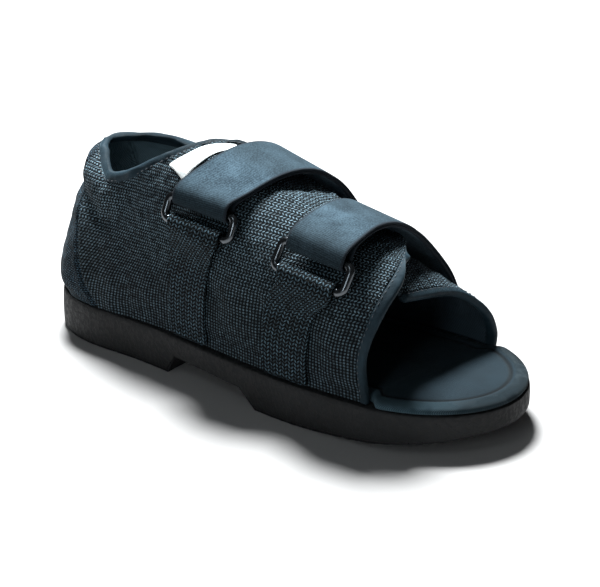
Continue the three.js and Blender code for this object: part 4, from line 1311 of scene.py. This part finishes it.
def tab_path(tab, ring):
    foot_x, foot_width, ring_x, ring_width, heights = tab
    lower, _, along, up, out = ring_axes(ring)
    loop = half_turn(lower, ring, RING_WIRE + LOOP_GAP + TAB_THICK / 2, over=True)
    lead = -LOOP_LEAD * up

    def rise(z):
        return np.clip((z - heights[0]) / (lower[2] - heights[0]), 0, 1)

    def on_flap(z, aside, lift):
        x = mix(foot_x, ring_x, rise(z) ** TAB_SWING)
        return over_lateral(x + aside, 2, z, lift, TAB_SHARES)

    face = [on_flap(z, 0, TAB_THICK / 2 + TAB_STAND_OFF) for z in heights]
    points = np.array([*face, loop[0] + lead - TAB_TUCK * out, loop[0]])
    front = smooth_line(points, np.linspace(0, len(points) - 1, ROW_STEPS * len(points)))[:-1]
    path = np.concatenate([front, loop, [loop[-1] + share * lead for share in TAB_END]])
    sideways = np.tile(along, (len(path), 1))
    for i, point in enumerate(front):
        z = np.clip(point[2], heights[0], heights[-1])
        slant = on_flap(z, SLANT_REACH, 0.0) - on_flap(z, -SLANT_REACH, 0.0)
        on_wall = unit(np.array([1, slant[1] / (2 * SLANT_REACH), -ring["drop"] * rise(point[2])]))
        sideways[i] = unit(mix(on_wall, along, smoothstep(i / len(front), *TURNS)))
    widths = mix(foot_width, ring_width, rise(path[:, 2]) ** TAB_SWING)
    return path, sideways, widths


for name, tab in TABS.items():
    path, sideways, widths = tab_path(tab, RINGS[name])
    bm = band_mesh(path, sideways, widths, TAB_THICK)
    piece = rounded(finished(f"{name}_tab_webbing", bm, f"{name}_tab", "tab_fabric", tab_webbing))

# %% [markdown]
# ## Label
# A white woven tape is sewn on the flap between the collar binding and the instep strap. It stays bare.
# It is a small sheet laid on the surface by x and y, with its thickness from Solidify.

# %% Label
# x and y along the binding side, then along the strap side.
LABEL = np.array([
    (90.5, -28.0, 103.5, -31.5),
    (97.8, -22.0, 108.0, -25.0),
    (102.1, -16.7, 111.0, -18.5),
    (106.1, -11.3, 113.4, -12.2),
    (109.4, -5.9, 115.4, -6.4),
    (112.4, -1.1, 117.2, -1.4),
])
# Height of its face over the wall, thickness of its cloth, and shares of the rib that it can lie on.
LABEL_FACE, LABEL_THICK, LABEL_SHARES = 1.15, 0.6, (0.4, 1)


def label_places(stations, levels):
    rows = smooth_line(LABEL, np.linspace(0, len(LABEL) - 1, stations))
    share = np.linspace(0, 1, levels)[None, :, None]
    plan = mix(rows[:, None, :2], rows[:, None, 2:], share)
    return np.array([[over_lateral(x, 1, y, LABEL_FACE, LABEL_SHARES) for x, y in row] for row in plan])


bm = grid_mesh(label_places(stations=26, levels=9), flip=True)
label_area = sum(face.calc_area() for face in bm.faces)
label = finished("label_tape", bm, "label", "label_cloth", label_cloth)
thickened(label, LABEL_THICK)
rounded(label)

# %% [markdown]
# ## Floor and light
# A shoe for a catalogue stands on a pale sweep. One soft light hangs above and behind it, so that the straps
# and the footbed catch it and the near side falls into shade. A faint card in front lifts that shade a
# little, and a narrow tall one stands where the rings mirror it. A weak sky fills the rest.

# %% Floor and light
FLOOR_HALF, FLOOR_DROP = 6, 0.0002


def floor_finish():
    finish = Finish("studio_floor", Specular_IOR_Level=0.2)
    speck = finish.noise(60, 2.0)
    return finish.made_of(finish.colour((0.36, 0.345, 0.34), (0.37, 0.355, 0.35), speck), 0.85 + speck * 0.1)


bm = bmesh.new()
bmesh.ops.create_grid(bm, x_segments=8, y_segments=8, size=FLOOR_HALF)
floor = mesh_object("studio_floor", bm, floor_finish())
floor.location.z = -FLOOR_DROP


def soft_light(name, place, wide, tall, power, colour):
    light = bpy.data.lights.new(name, "AREA")
    light.shape = "ELLIPSE"
    light.size, light.size_y = wide, tall
    light.energy = power
    light.color = colour
    lamp = placed(name, light)
    lamp.location = place
    lamp.rotation_euler = (-Vector(place)).to_track_quat("-Z", "Y").to_euler()


# Name, place in metres, width, height, power in watts and colour.
soft_light("overhead", (-0.37, 0.30, 1.05), 0.36, 0.36, 62, (0.93, 0.98, 1))
soft_light("front_card", (0.2, -1.0, 1.25), 0.35, 0.35, 1.3, (0.85, 0.95, 1))
soft_light("ring_card", (0.36, -1.35, 0.5), 0.22, 0.55, 3.2, (0.85, 0.95, 1))
sky = bpy.data.worlds.new("studio_sky")
sky.use_nodes = True
fill = sky.node_tree.nodes["Background"].inputs
fill["Color"].default_value = (0.93, 0.97, 1, 1)
fill["Strength"].default_value = 0.05
scene.world = sky
print("light set")
